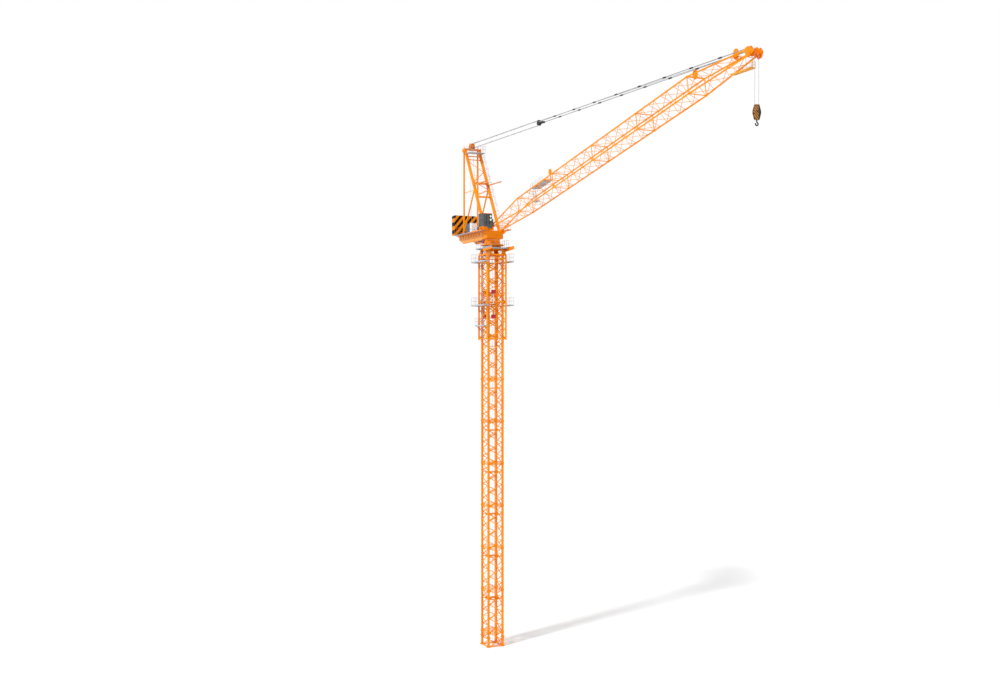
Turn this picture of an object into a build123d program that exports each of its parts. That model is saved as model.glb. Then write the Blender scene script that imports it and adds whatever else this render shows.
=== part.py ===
"""A luffing-jib tower crane as a scale model, one tenth of its real size, in millimetres.

The origin is the centre of the mast at ground level, +Z is up and the jib points along +X.
The jib is drawn at its lowest working angle. The crane stands on a square base frame; the mast's
four legs carry a climbing cage, the slewing support and the slewing upperworks.
"""
import os
from math import asin, atan2, cos, degrees, hypot, radians, sin

from build123d import *

os.makedirs("parts", exist_ok=True)

# Base frame and mast
MAST_PITCH = 219.0  # between leg centres
LEG = 27.0  # box section of a leg
COLLAR = 36.0  # joint flange round a leg
COLLAR_TALL = 5.0
FOOT_PLATE = 46.0
FOOT_PLATE_THICK = 10.0
FOOT_TIE = 12.0
ANCHOR_PITCH = 34.0
ANCHOR_R = 2.2
STUB_TOP = 200.0  # lowest mast joint
STUB_COLLAR_Z = 130.0
SECTION = 600.0  # height of a mast section
SECTIONS = 9
PANEL = 200.0  # height of a lattice panel
MAST_TOP = 5560.0
DIAGONAL = 11.0  # lattice bars of the mast
RING_BAR = 8.0  # level bars of a section's end frames
RING_OFF = 16.0  # from the joint to the middle of an end frame

# Climbing cage
CAGE_PITCH = 290.0
CAGE_POST = 20.0
CAGE_LOW = 4360.0
CAGE_BAR = 8.0
CAGE_RING = 12.0
CAGE_RINGS = (4380.0, 4900.0, 5520.0)
CAGE_FIELDS = (4, 5)  # zigzag bars between one ring and the next
GUIDE_WIDE = 16.0
GUIDE_TALL = 24.0
JACK_LOW_Z = 4690.0
JACK_HIGH_Z = 5040.0
JACK_R = 9.0
JACK_ROD_R = 5.0
JACK_Y = -58.0
JACK_SHOE = 26.0
JACK_YOKE_WIDE = 60.0
JACK_YOKE_TALL = 52.0

# Platforms round the cage
DECK_THICK = 5.0
TOP_PLATFORM = 354.0  # across, round the slewing support
WIDE_PLATFORM = 462.0  # across, round the cage
WIDE_PLATFORM_ZS = (4850.0, 5470.0)
ARM_FRONT = 350.0  # two tapered arms at the front of the top platform
ARM_BACK = 60.0
ARM_WIDE = 12.0
ARM_RISE = 18.0
ARM_ROOT = 60.0
ARM_TIP = 42.0
LEDGE_Z = 4560.0
LEDGE_DEEP = 50.0

# Slewing support and ring
SUPPORT_WIDE = 310.0
SUPPORT_NARROW = 244.0
SUPPORT_TALL = 100.0
SUPPORT_WALL = 10.0
SUPPORT_INNER = 280.0
SUPPORT_HOLE_R = 75.0
SUPPORT_WINDOW_WIDE = 165.0
SUPPORT_WINDOW_TALL = 58.0
RING_R = 118.0
RING_TALL = 42.0
RING_BORE_R = 80.0
BEARING_GAP = 0.3

# Slewing platform, counter-jib and deck
TURNTABLE_R = 162.0
TURNTABLE_THICK = 16.0
NECK_LOW_R = 118.0
NECK_HIGH_R = 104.0
PLATFORM_LOW = 5800.0
PLATFORM_BACK = -115.0
PLATFORM_FRONT = 92.0
HALF_WIDTH = 110.0  # frames and jib chords are this far from the middle
DECK_TOP = 5920.0
GIRDER_LOW = 5790.0
GIRDER_WALL = 12.0
GIRDER_BACK = -955.0
GIRDER_CHAMFER_LONG = 160.0
GIRDER_CHAMFER_TALL = 66.0
CROSS_BEAMS = 6
CROSS_BEAM_WIDE = 12.0
CROSS_BEAM_TALL = 70.0
DECK_HALF = 190.0
DECK_FRONT = -34.0
WALKWAY_FRONT = 166.0
WALKWAY_INNER = 130.0
WEDGE_FRONT = 220.0
WEB_BACK = -30.0  # tapered web under the left walkway
WEB_DEEP = 47.0
WEB_THICK = 8.0
TOE_BAND = 12.0
TOE_THICK = 4.0

# Counterweight
BALLAST_NEAR = -960.0
BALLAST_SLABS = 3
SLAB_THICK = 32.0
SLAB_GAP = 2.0
BALLAST_WIDE = 365.0
BALLAST_LOW = 5930.0
BALLAST_TALL = 300.0
BALLAST_CORNER = 10.0
CARRIER_Y = 70.0
CARRIER_WIDE = 24.0
CARRIER_DEEP = 24.0

# Jib foot brackets
PIVOT_X = 100.0
PIVOT_Z = 5930.0
PIN_R = 7.0
PIN_CLEAR = 0.25
EYE_R = 15.0
EAR_THICK = 9.0
EAR_R = 20.0
SIDE_CLEAR = 0.5
PEDESTAL_DEEP = 124.0
EAR_LONG = 34.0

# Jib
LUFF_AT_REST = 11.2
CHORD = 13.0
LACE = 4.0
JIB_TOP = 135.0  # top chords above the line through the foot pins
JIB_BOTTOM = -50.0
FOOT_LONG = 1000.0
STRAIGHT_LONG = 4090.0
STRAIGHT_SECTIONS = 4
FIELDS = 4  # zigzag periods in a straight section
TAPER_FIELDS = 3
HEAD_END = 6000.0
HEAD_TOP = 30.0
HEAD_BOTTOM = -36.0
GUIDE_POSITIONS = (1762.0, 5083.0, 5785.0)
GUIDE_TALLS = (152.0, 82.0, 84.0)
GUIDE_BAR = 7.0
GUIDE_Y = 5.0  # beside the hoist rope, between the pendants
GUIDE_OVAL_LONG = 78.0
GUIDE_OVAL_TALL = 82.0
GUIDE_STEM = 16.0
ROPE_OPENING = 230.0  # top lacing left out at the jib's end, where the hoist rope passes through
FOOT_SKIP = 130.0
WALK_START = 1390.0
WALK_END = 1750.0
WALK_LEFT = 30.0
TIP_SHORT = 105.0  # from the head sheaves back to the front of the platform under the head
TIP_LONG = 340.0
TIP_DROP = 112.0  # below the head sheaves
TIP_OUTER = 90.0
TIP_INNER = 34.0
HANGER = 6.0

# Jib head and hook
HEAD_HALF = 52.0  # chords and head plates from the middle, at the head
SHEAVE_ALONG = 6068.0  # head sheaves, along the jib from the foot pins
SHEAVE_UP = -25.0
SHEAVE_R = 36.0
SHEAVE_THICK = 9.0
GROOVE = 5.0
FALL_Y = 24.0
AXLE_R = 6.0
PLATE_THICK = 8.0
HEAD_PLATE_END = 6118.0
HEAD_PLATE_LOW = -46.0
HEAD_PLATE_HIGH = 50.0
GUARD_R = 58.0
GUARD_THICK = 5.0
PENDANT_ALONG = 6033.0
PENDANT_UP = 39.0
BLOCK_TOP = 6583.0
BLOCK_TALL = 150.0
BLOCK_WIDE = 88.0
BLOCK_NARROW = 46.0
CHEEK_THICK = 5.0
CHEEK_GAP = 12.0
BLOCK_SHEAVE_UP = 8.0
CROSSHEAD_TALL = 16.0
CROSSHEAD_HALF = 16.0
HOOK_SHANK = 12.0
HOOK_NUT = 6.0
HOOK_BEND = 60.0
HOOK_TURN = 205.0
HOOK_R = 15.0
HOOK_WIRE = 9.0
ROPE = 3.0
ROPE_SEAT = 0.3

# A-frame
LEG_FOOT_X = -4.0
LEG_LEAN = 0.5665  # how far a front leg leans back for each unit of height
A_HEAD_Z = 7180.0  # where the head beam sits on the legs
A_LEG_WIDE = 30.0
A_LEG_DEEP = 36.0
TIE_X = -766.0
TIE = 20.0
STRUT = 16.0
BRACE = 8.0
STRUT_Z = 6570.0
CROSS_ZS = (6435.0, 6640.0, 7020.0, 7076.0)
CROSS_SIZES = (24.0, 16.0, 12.0, 12.0)
BRACE_ZS = (6450.0, 6560.0, 6670.0, 6830.0, 6980.0)
TIE_BAR_Z = 6540.0
BACKSTOP_Z = 6620.0
BACKSTOP_TIP = 50.0
BACKSTOP_BAR = 14.0
BACKSTOP_DROP = 70.0
HEAD_DECK_DROP = 68.0  # below the head beam
HEAD_DECK_GAP = 20.0  # from the middle of the legs
HEAD_DECK_LONG = 142.0
HEAD_DECK_HALF = 125.0
HEAD_BEAM_BACK = -785.0
HEAD_BEAM_FRONT = -690.0
HEAD_BEAM_TALL = 16.0
HEAD_PLATE_TALL = 46.0
SLOT_BACK = -770.0
SLOT_FRONT = -726.0
TOP_AXLE_X = -715.0
AXLE_RISE = 42.0  # above the head beam
TOP_AXLE_Z = A_HEAD_Z + HEAD_BEAM_TALL + AXLE_RISE
HOUSING_EDGE = 3.0  # how far the housing's cheeks reach past the sheaves
TOP_SHEAVE_YS = (-26.0, -13.0, 0.0, 13.0)
HOIST_Y = -26.0
LUFF_YS = (-13.0, 0.0, 13.0)

# Machinery on the deck
WINCH_R = 36.0
WINCH_FLANGE_R = 48.0
WINCH_LONG = 96.0
WINCH_SIDE = 8.0
HOIST_WINCH_X = -640.0
LUFF_WINCH_X = -460.0
WINCH_AXLE_Z = 5984.0
CABINET_X = -380.0
CABINET_Y = -128.0
CABINET_DEEP = 62.0
CABINET_WIDE = 90.0
CABINET_TALL = 96.0
CAB_BACK = 170.0
CAB_LONG = 160.0
CAB_INNER = -155.0
CAB_WIDE = 135.0
CAB_LOW = 5941.0
CAB_TALL = 185.0
CAB_WALL = 4.0
CAB_FRAME = 3.0
CAB_ROOF = 5.0
CAB_FLOOR_THICK = 6.0
BRACKET_BEAM = 18.0
BRACKET_SEAT = 70.0
DRIVE_R = 16.0
DRIVE_Y = 96.0
DRIVE_TALL = 60.0

# Pendants
PENDANT_Y = 37.5
PENDANT_LONG = 4450.0
PENDANT_BAR = 8.0
PENDANT_PIN_R = 5.0
PENDANT_EYE_R = 9.0
COUPLER = 13.0
COUPLER_LONG = 56.0
COUPLERS = 8
COUPLER_FIRST = 433.0  # from the pin in the jib head
COUPLER_PITCH = 508.0
EQUALIZER_LONG = 30.0
EQUALIZER_TALL = 24.0
EQUALIZER_REACH = 84.0
EQUALIZER_HALF = 46.0

SIDES = {"front": 0, "left": 90, "back": 180, "right": 270}
UPRIGHT_LIMIT = 1e-6  # a bar that leans less than this counts as upright


def save(builder, name):
    """Label a finished piece and write it out."""
    builder.part.label = name
    export_step(builder.part, f"parts/{name}.step")


def side_plane(turn, reach):
    """The upright plane that faces one way, at a distance from the crane's axis."""
    out = Vector(cos(radians(turn)), sin(radians(turn)), 0)
    return Plane(origin=out * reach, x_dir=(-out.Y, out.X, 0), z_dir=out)


def bar_place(start, end):
    """Where the middle of a flat bar between two points of a sketch lies, and how it is turned."""
    turn = degrees(atan2(end[1] - start[1], end[0] - start[0]))
    return Location(((start[0] + end[0]) / 2, (start[1] + end[1]) / 2, 0), (0, 0, turn))


def flat_bar(start, end, wide):
    """A bar between two points of the sketch being drawn."""
    with Locations(bar_place(start, end)):
        Rectangle(hypot(end[0] - start[0], end[1] - start[1]), wide)


def strut(start, end, wide, deep):
    """A straight bar between two points in space, its width level, added to the piece being made."""
    run = Vector(*end) - Vector(*start)
    level = run.cross(Vector(0, 0, 1))
    if level.length < UPRIGHT_LIMIT * run.length:
        level = Vector(1, 0, 0)
    with BuildSketch(Plane(origin=start, x_dir=level, z_dir=run)) as section:
        Rectangle(wide, deep)
    extrude(section.sketch, amount=run.length)


def round_bar(start, end, radius, mode=Mode.ADD):
    """A round bar between two points in space, added to or cut from the piece being made."""
    run = Vector(*end) - Vector(*start)
    with BuildSketch(Plane(origin=start, z_dir=run)) as section:
        Circle(radius)
    extrude(section.sketch, amount=run.length, mode=mode)


# Base frame: four foot plates joined by low ties, all flat on the ground
leg_reach = MAST_PITCH / 2
with BuildPart() as base_frame:
    with BuildSketch():
        with GridLocations(MAST_PITCH, MAST_PITCH, 2, 2):
            Rectangle(FOOT_PLATE, FOOT_PLATE)
        with GridLocations(MAST_PITCH, 0, 2, 1):
            Rectangle(FOOT_TIE, MAST_PITCH)
        with GridLocations(0, MAST_PITCH, 1, 2):
            Rectangle(MAST_PITCH, FOOT_TIE)
        with GridLocations(MAST_PITCH, MAST_PITCH, 2, 2):
            with GridLocations(ANCHOR_PITCH, ANCHOR_PITCH, 2, 2):
                Circle(ANCHOR_R, mode=Mode.SUBTRACT)
    extrude(amount=FOOT_PLATE_THICK)
save(base_frame, "base_frame")


def posts(low, high, pitch, size):
    """Four square posts."""
    with BuildSketch(Plane.XY.offset(low)) as section:
        with GridLocations(pitch, pitch, 2, 2):
            Rectangle(size, size)
    extrude(section.sketch, amount=high - low)


# Mast feet: the cast-in stubs under the lowest joint
with BuildPart() as mast_feet:
    posts(FOOT_PLATE_THICK, STUB_TOP, MAST_PITCH, LEG)
    posts(STUB_COLLAR_Z, STUB_COLLAR_Z + 2 * COLLAR_TALL, MAST_PITCH, COLLAR)
    posts(STUB_TOP - COLLAR_TALL, STUB_TOP, MAST_PITCH, COLLAR)
save(mast_feet, "mast_feet")

# Mast legs, with a flange above and below each joint of the sections
joint_zs = [STUB_TOP + i * SECTION for i in range(SECTIONS)]
with BuildPart() as mast_legs:
    posts(STUB_TOP, MAST_TOP, MAST_PITCH, LEG)
    posts(STUB_TOP, STUB_TOP + COLLAR_TALL, MAST_PITCH, COLLAR)
    for joint_z in joint_zs[1:]:
        posts(joint_z - COLLAR_TALL, joint_z + COLLAR_TALL, MAST_PITCH, COLLAR)
save(mast_legs, "mast_legs")

# Mast sides: a zigzag in the plane of the legs, with a frame bar above and below each joint
clear_width = MAST_PITCH - LEG
half_panels = int((STUB_TOP + SECTION * SECTIONS) / (PANEL / 2))
collar_zs = [STUB_COLLAR_Z + COLLAR_TALL, *joint_zs]
for side_name, side_turn in SIDES.items():
    with BuildPart() as mast_side:
        with BuildSketch(side_plane(side_turn, leg_reach)):
            zigzag = []
            for i in range(half_panels):
                lean = 1 if i % 2 else -1
                low_z = i * PANEL / 2
                low_point = (lean * clear_width / 2, low_z)
                high_point = (-lean * clear_width / 2, low_z + PANEL / 2)
                zigzag.append(bar_place(low_point, high_point))
            with Locations(*zigzag):
                Rectangle(hypot(clear_width, PANEL / 2) + DIAGONAL, DIAGONAL)
            ring_zs = [z + way * RING_OFF for z in joint_zs for way in (-1, 1)]
            with Locations(*[(0, z) for z in ring_zs]):
                Rectangle(clear_width, RING_BAR)
            with Locations((0, (FOOT_PLATE_THICK + MAST_TOP) / 2)):
                Rectangle(clear_width, MAST_TOP - FOOT_PLATE_THICK, mode=Mode.INTERSECT)
            with Locations(*[(way * leg_reach, z) for z in collar_zs for way in (-1, 1)]):
                Rectangle(COLLAR, 2 * COLLAR_TALL, mode=Mode.SUBTRACT)
        extrude(amount=RING_BAR / 2, both=True)
    save(mast_side, f"mast_{side_name}")

# Climbing cage round the top of the mast
cage_reach = CAGE_PITCH / 2
cage_clear = CAGE_PITCH - CAGE_POST
with BuildPart() as cage_posts:
    posts(CAGE_LOW, MAST_TOP, CAGE_PITCH, CAGE_POST)
save(cage_posts, "cage_posts")

for side_name, side_turn in SIDES.items():
    with BuildPart() as cage_side:
        with BuildSketch(side_plane(side_turn, cage_reach)):
            for low_ring, high_ring, fields in zip(CAGE_RINGS, CAGE_RINGS[1:], CAGE_FIELDS):
                rise = (high_ring - low_ring) / fields
                for i in range(fields):
                    lean = 1 if i % 2 else -1
                    low_point = (lean * cage_clear / 2, low_ring + i * rise)
                    flat_bar(low_point, (-lean * cage_clear / 2, low_ring + (i + 1) * rise), CAGE_BAR)
            with Locations(*[(0, z) for z in CAGE_RINGS]):
                Rectangle(cage_clear, CAGE_RING)
            with Locations((0, (CAGE_LOW + MAST_TOP) / 2)):
                Rectangle(cage_clear, MAST_TOP - CAGE_LOW, mode=Mode.INTERSECT)
        extrude(amount=CAGE_BAR / 2, both=True)
    save(cage_side, f"cage_{side_name}")

# Guide shoes between the mast legs and the cage's level bars
leg_face = leg_reach + LEG / 2
cage_face = cage_reach - CAGE_BAR / 2
with BuildPart() as cage_guides:
    for side_turn in SIDES.values():
        with BuildSketch(side_plane(side_turn, leg_face)) as shoes:
            with Locations(*[(way * leg_reach, z) for z in CAGE_RINGS for way in (-1, 1)]):
                Rectangle(GUIDE_WIDE, GUIDE_TALL)
        extrude(shoes.sketch, amount=cage_face - leg_face)
save(cage_guides, "cage_guides")

# Climbing jacks on the front and back of the cage
jack_x = cage_reach + CAGE_BAR / 2 + JACK_SHOE / 2
with BuildPart() as climbing_jacks:
    for way in (-1, 1):
        for shoe_z in (JACK_LOW_Z, JACK_HIGH_Z):
            with Locations((way * jack_x, JACK_Y, shoe_z)):
                Box(JACK_SHOE, JACK_YOKE_WIDE, JACK_YOKE_TALL)
        middle_z = (JACK_LOW_Z + JACK_HIGH_Z) / 2
        round_bar((way * jack_x, JACK_Y, JACK_LOW_Z), (way * jack_x, JACK_Y, middle_z), JACK_R)
        round_bar((way * jack_x, JACK_Y, middle_z), (way * jack_x, JACK_Y, JACK_HIGH_Z), JACK_ROD_R)
save(climbing_jacks, "climbing_jacks")

# Platforms round the cage and the slewing support
support_top = MAST_TOP + SUPPORT_TALL
with BuildPart() as cage_platforms:
    with BuildSketch(Plane.XY.offset(support_top)):
        Rectangle(TOP_PLATFORM, TOP_PLATFORM)
        Circle(RING_R + SIDE_CLEAR, mode=Mode.SUBTRACT)
    extrude(amount=DECK_THICK)
    for platform_z in WIDE_PLATFORM_ZS:
        with BuildSketch(Plane.XY.offset(platform_z)):
            Rectangle(WIDE_PLATFORM, WIDE_PLATFORM)
            Rectangle(CAGE_PITCH + CAGE_POST, CAGE_PITCH + CAGE_POST, mode=Mode.SUBTRACT)
            with Locations((WIDE_PLATFORM / 2, 0)):
                Rectangle(WIDE_PLATFORM / 2, CAGE_PITCH + CAGE_POST, mode=Mode.SUBTRACT)
            if JACK_LOW_Z < platform_z < JACK_HIGH_Z:
                with Locations((-jack_x, JACK_Y)):
                    Circle(JACK_R + DECK_THICK / 2, mode=Mode.SUBTRACT)
        extrude(amount=DECK_THICK)
    with BuildSketch(Plane.XY.offset(LEDGE_Z)):
        with Locations((0, -cage_reach - CAGE_POST / 2 - LEDGE_DEEP / 2)):
            Rectangle(CAGE_PITCH + CAGE_POST, LEDGE_DEEP)
    extrude(amount=DECK_THICK)
    arm_top = support_top + ARM_RISE
    for side in (-1, 1):
        with BuildSketch(Plane.XZ.offset(-side * (TOP_PLATFORM - ARM_WIDE) / 2)) as arm:
            with BuildLine():
                Polyline(
                    (ARM_BACK, arm_top - ARM_ROOT),
                    (ARM_BACK, arm_top),
                    (ARM_FRONT, arm_top),
                    (ARM_FRONT, arm_top - ARM_TIP),
                    close=True,
                )
            make_face()
        extrude(arm.sketch, amount=ARM_WIDE / 2, both=True)
save(cage_platforms, "cage_platforms")

# Slewing support: a tapered box shell with a window in each side
with BuildPart() as slewing_support:
    with BuildSketch(Plane.XY.offset(MAST_TOP)):
        Rectangle(SUPPORT_WIDE, SUPPORT_WIDE)
    with BuildSketch(Plane.XY.offset(support_top)):
        Rectangle(SUPPORT_NARROW, SUPPORT_NARROW)
    loft()
    with BuildSketch(Plane.XY.offset(MAST_TOP + SUPPORT_WALL)):
        Rectangle(SUPPORT_INNER, SUPPORT_INNER)
    with BuildSketch(Plane.XY.offset(support_top - SUPPORT_WALL)):
        Rectangle(SUPPORT_NARROW - SUPPORT_WALL, SUPPORT_NARROW - SUPPORT_WALL)
    loft(mode=Mode.SUBTRACT)
    round_bar((0, 0, MAST_TOP), (0, 0, support_top), SUPPORT_HOLE_R, Mode.SUBTRACT)
    for turn in (0, 90):
        with BuildSketch(side_plane(turn, 0)) as window:
            with Locations((0, MAST_TOP + SUPPORT_TALL / 2)):
                Rectangle(SUPPORT_WINDOW_WIDE, SUPPORT_WINDOW_TALL)
                fillet(window.vertices(), radius=SUPPORT_WINDOW_TALL / 3)
        extrude(window.sketch, amount=SUPPORT_WIDE / 2, both=True, mode=Mode.SUBTRACT)
save(slewing_support, "slewing_support")

with BuildPart() as slewing_ring:
    with BuildSketch(Plane.XY.offset(support_top)):
        Circle(RING_R)
        Circle(RING_BORE_R, mode=Mode.SUBTRACT)
    extrude(amount=RING_TALL)
save(slewing_ring, "slewing_ring")

# Turntable: a flanged neck turned in one piece
ring_top = support_top + RING_TALL
turntable_low = ring_top + BEARING_GAP
with BuildPart() as turntable:
    with BuildSketch(Plane.XZ):
        with BuildLine():
            Polyline(
                (RING_BORE_R, turntable_low),
                (TURNTABLE_R, turntable_low),
                (TURNTABLE_R, turntable_low + TURNTABLE_THICK),
                (NECK_LOW_R, turntable_low + TURNTABLE_THICK),
                (NECK_HIGH_R, PLATFORM_LOW),
                (RING_BORE_R, PLATFORM_LOW),
                close=True,
            )
        make_face()
    revolve(axis=Axis.Z)
save(turntable, "turntable")

# Slewing platform: a box with two pedestals that hold the jib's foot pins between ears
ear_reach = CHORD / 2 + SIDE_CLEAR
pedestal_half = ear_reach + EAR_THICK
platform_long = PLATFORM_FRONT - PLATFORM_BACK
deck_low = DECK_TOP - DECK_THICK
with BuildPart() as slewing_platform:
    with BuildSketch(Plane.XY.offset(PLATFORM_LOW)):
        with Locations(((PLATFORM_FRONT + PLATFORM_BACK) / 2, 0)):
            Rectangle(platform_long, 2 * HALF_WIDTH)
        with Locations((PLATFORM_FRONT - PEDESTAL_DEEP / 2, 0)):
            Rectangle(PEDESTAL_DEEP, 2 * (HALF_WIDTH + pedestal_half))
    extrude(amount=deck_low - PLATFORM_LOW)
    for side in (-1, 1):
        for way in (-1, 1):
            ear_middle = side * HALF_WIDTH + way * (ear_reach + EAR_THICK / 2)
            with BuildSketch(Plane.XZ.offset(-ear_middle)) as ear:
                with Locations((PIVOT_X, PIVOT_Z)):
                    Circle(EAR_R)
                with BuildLine():
                    Polyline(
                        (PIVOT_X - EAR_R, PIVOT_Z),
                        (PIVOT_X - EAR_R - EAR_LONG, deck_low),
                        (PLATFORM_FRONT, deck_low),
                        (PLATFORM_FRONT, deck_low - EAR_R),
                        (PIVOT_X + EAR_R, PIVOT_Z),
                        close=True,
                    )
                make_face()
            extrude(ear.sketch, amount=EAR_THICK / 2, both=True)
        pin_start = side * HALF_WIDTH - pedestal_half
        round_bar((PIVOT_X, pin_start, PIVOT_Z), (PIVOT_X, pin_start + 2 * pedestal_half, PIVOT_Z), PIN_R)
save(slewing_platform, "slewing_platform")

# Counter-jib: two plate girders with a raked tail, joined by cross beams
girder_top = deck_low
with BuildPart() as counter_jib:
    for side in (-1, 1):
        girder_middle = side * (HALF_WIDTH - GIRDER_WALL / 2)
        with BuildSketch(Plane.XZ.offset(-girder_middle)) as web:
            with BuildLine():
                Polyline(
                    (PLATFORM_BACK, GIRDER_LOW),
                    (PLATFORM_BACK, girder_top),
                    (GIRDER_BACK, girder_top),
                    (GIRDER_BACK, GIRDER_LOW + GIRDER_CHAMFER_TALL),
                    (GIRDER_BACK + GIRDER_CHAMFER_LONG, GIRDER_LOW),
                    close=True,
                )
            make_face()
        extrude(web.sketch, amount=GIRDER_WALL / 2, both=True)
    beam_span = PLATFORM_BACK - GIRDER_BACK - CROSS_BEAM_WIDE
    for i in range(CROSS_BEAMS):
        beam_x = PLATFORM_BACK - CROSS_BEAM_WIDE / 2 - i * beam_span / (CROSS_BEAMS - 1)
        with Locations((beam_x, 0, girder_top - CROSS_BEAM_TALL / 2)):
            Box(CROSS_BEAM_WIDE, 2 * (HALF_WIDTH - GIRDER_WALL), CROSS_BEAM_TALL)
    ballast_thick = BALLAST_SLABS * SLAB_THICK + (BALLAST_SLABS - 1) * SLAB_GAP
    carrier_long = GIRDER_BACK - BALLAST_NEAR + ballast_thick + GIRDER_WALL
    carrier_x = GIRDER_BACK + GIRDER_WALL - carrier_long / 2
    for side in (-1, 1):
        with Locations((carrier_x, side * CARRIER_Y, BALLAST_LOW - CARRIER_DEEP / 2)):
            Box(carrier_long, CARRIER_WIDE, CARRIER_DEEP)
save(counter_jib, "counter_jib")

# Machinery deck, with a walkway to the cab and a bracketed one on the other side
pedestal_y = HALF_WIDTH + pedestal_half
with BuildPart() as machinery_deck:
    with BuildSketch(Plane.XY.offset(deck_low)):
        with BuildLine():
            Polyline(
                (GIRDER_BACK + GIRDER_WALL, -DECK_HALF),
                (WALKWAY_FRONT, -DECK_HALF),
                (WALKWAY_FRONT, -WALKWAY_INNER),
                (DECK_FRONT, -WALKWAY_INNER),
                (DECK_FRONT, WALKWAY_INNER),
                (WEDGE_FRONT, WALKWAY_INNER),
                (WEDGE_FRONT, DECK_HALF),
                (GIRDER_BACK + GIRDER_WALL, DECK_HALF),
                close=True,
            )
        make_face()
    extrude(amount=DECK_THICK)
    for side in (-1, 1):
        band_front = WALKWAY_FRONT if side < 0 else WEDGE_FRONT
        band_long = band_front - GIRDER_BACK - GIRDER_WALL
        with Locations((band_front - band_long / 2, side * (DECK_HALF + TOE_THICK / 2), DECK_TOP)):
            Box(band_long, TOE_THICK, TOE_BAND)
    with BuildSketch(Plane.XZ.offset(-pedestal_y - WEB_THICK / 2)) as web:
        with BuildLine():
            Polyline(
                (WEB_BACK, deck_low),
                (WEDGE_FRONT, deck_low),
                (WEDGE_FRONT, deck_low - WEB_THICK),
                (PLATFORM_FRONT, deck_low - WEB_DEEP),
                (WEB_BACK, deck_low - WEB_DEEP),
                close=True,
            )
        make_face()
    extrude(web.sketch, amount=WEB_THICK / 2, both=True)
save(machinery_deck, "machinery_deck")

# Counterweight slabs on the carrier arms
with BuildPart() as counterweight:
    for i in range(BALLAST_SLABS):
        slab_x = BALLAST_NEAR - SLAB_THICK / 2 - i * (SLAB_THICK + SLAB_GAP)
        with BuildSketch(Plane.YZ.offset(slab_x)) as slab:
            with Locations((0, BALLAST_LOW + BALLAST_TALL / 2)):
                Rectangle(BALLAST_WIDE, BALLAST_TALL)
            chamfer(slab.vertices(), length=BALLAST_CORNER)
        extrude(slab.sketch, amount=SLAB_THICK / 2, both=True)
save(counterweight, "counterweight")

# Winches: a flanged drum between two side frames that stand on the deck
for winch_name, winch_x in (("hoist_winch", HOIST_WINCH_X), ("luffing_winch", LUFF_WINCH_X)):
    with BuildPart() as winch:
        drum_half = WINCH_LONG / 2
        round_bar((winch_x, -drum_half, WINCH_AXLE_Z), (winch_x, drum_half, WINCH_AXLE_Z), WINCH_R)
        for side in (-1, 1):
            flange_in = (winch_x, side * drum_half, WINCH_AXLE_Z)
            flange_out = (winch_x, side * (drum_half + WINCH_SIDE), WINCH_AXLE_Z)
            round_bar(flange_in, flange_out, WINCH_FLANGE_R)
            frame_y = side * (drum_half + WINCH_SIDE + WINCH_SIDE / 2)
            with BuildSketch(Plane.XZ.offset(-frame_y)) as frame:
                with BuildLine():
                    Polyline(
                        (winch_x - WINCH_FLANGE_R, DECK_TOP),
                        (winch_x + WINCH_FLANGE_R, DECK_TOP),
                        (winch_x + WINCH_R / 2, WINCH_AXLE_Z + WINCH_R / 2),
                        (winch_x - WINCH_R / 2, WINCH_AXLE_Z + WINCH_R / 2),
                        close=True,
                    )
                make_face()
            extrude(frame.sketch, amount=WINCH_SIDE / 2, both=True)
    save(winch, winch_name)

# Electrical cabinet
with BuildPart() as cabinet:
    with Locations((CABINET_X, CABINET_Y, DECK_TOP + CABINET_TALL / 2)):
        Box(CABINET_DEEP, CABINET_WIDE, CABINET_TALL)
    chamfer(cabinet.edges().filter_by(Axis.Z), length=WINCH_SIDE / 4)
save(cabinet, "cabinet")

# Cab: an open frame with windows cut through its walls, on a bracket beside the jib foot
cab_middle_x = CAB_BACK + CAB_LONG / 2
cab_middle_y = CAB_INNER - CAB_WIDE / 2
with BuildPart() as cab:
    with Locations((cab_middle_x, cab_middle_y, CAB_LOW + CAB_TALL / 2)):
        Box(CAB_LONG, CAB_WIDE, CAB_TALL)
        Box(CAB_LONG - 2 * CAB_WALL, CAB_WIDE - 2 * CAB_WALL, CAB_TALL - 2 * CAB_ROOF, mode=Mode.SUBTRACT)
        window_tall = CAB_TALL - 2 * CAB_ROOF - 2 * CAB_FRAME
        Box(CAB_LONG + CAB_WALL, CAB_WIDE - 2 * CAB_FRAME - 2 * CAB_WALL, window_tall, mode=Mode.SUBTRACT)
        Box(CAB_LONG - 2 * CAB_FRAME - 2 * CAB_WALL, CAB_WIDE + CAB_WALL, window_tall, mode=Mode.SUBTRACT)
save(cab, "cab")

# Cab windows: four panes set in the middle of the walls
pane_tall = CAB_TALL - 2 * CAB_ROOF - 2 * CAB_FRAME
pane_thick = CAB_WALL / 2
with BuildPart() as cab_windows:
    for way in (-1, 1):
        pane_x = cab_middle_x + way * (CAB_LONG - CAB_WALL) / 2
        with Locations((pane_x, cab_middle_y, CAB_LOW + CAB_TALL / 2)):
            Box(pane_thick, CAB_WIDE - 2 * CAB_FRAME - 2 * CAB_WALL, pane_tall)
        pane_y = cab_middle_y + way * (CAB_WIDE - CAB_WALL) / 2
        with Locations((cab_middle_x, pane_y, CAB_LOW + CAB_TALL / 2)):
            Box(CAB_LONG - 2 * CAB_FRAME - 2 * CAB_WALL, pane_thick, pane_tall)
save(cab_windows, "cab_windows")

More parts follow.
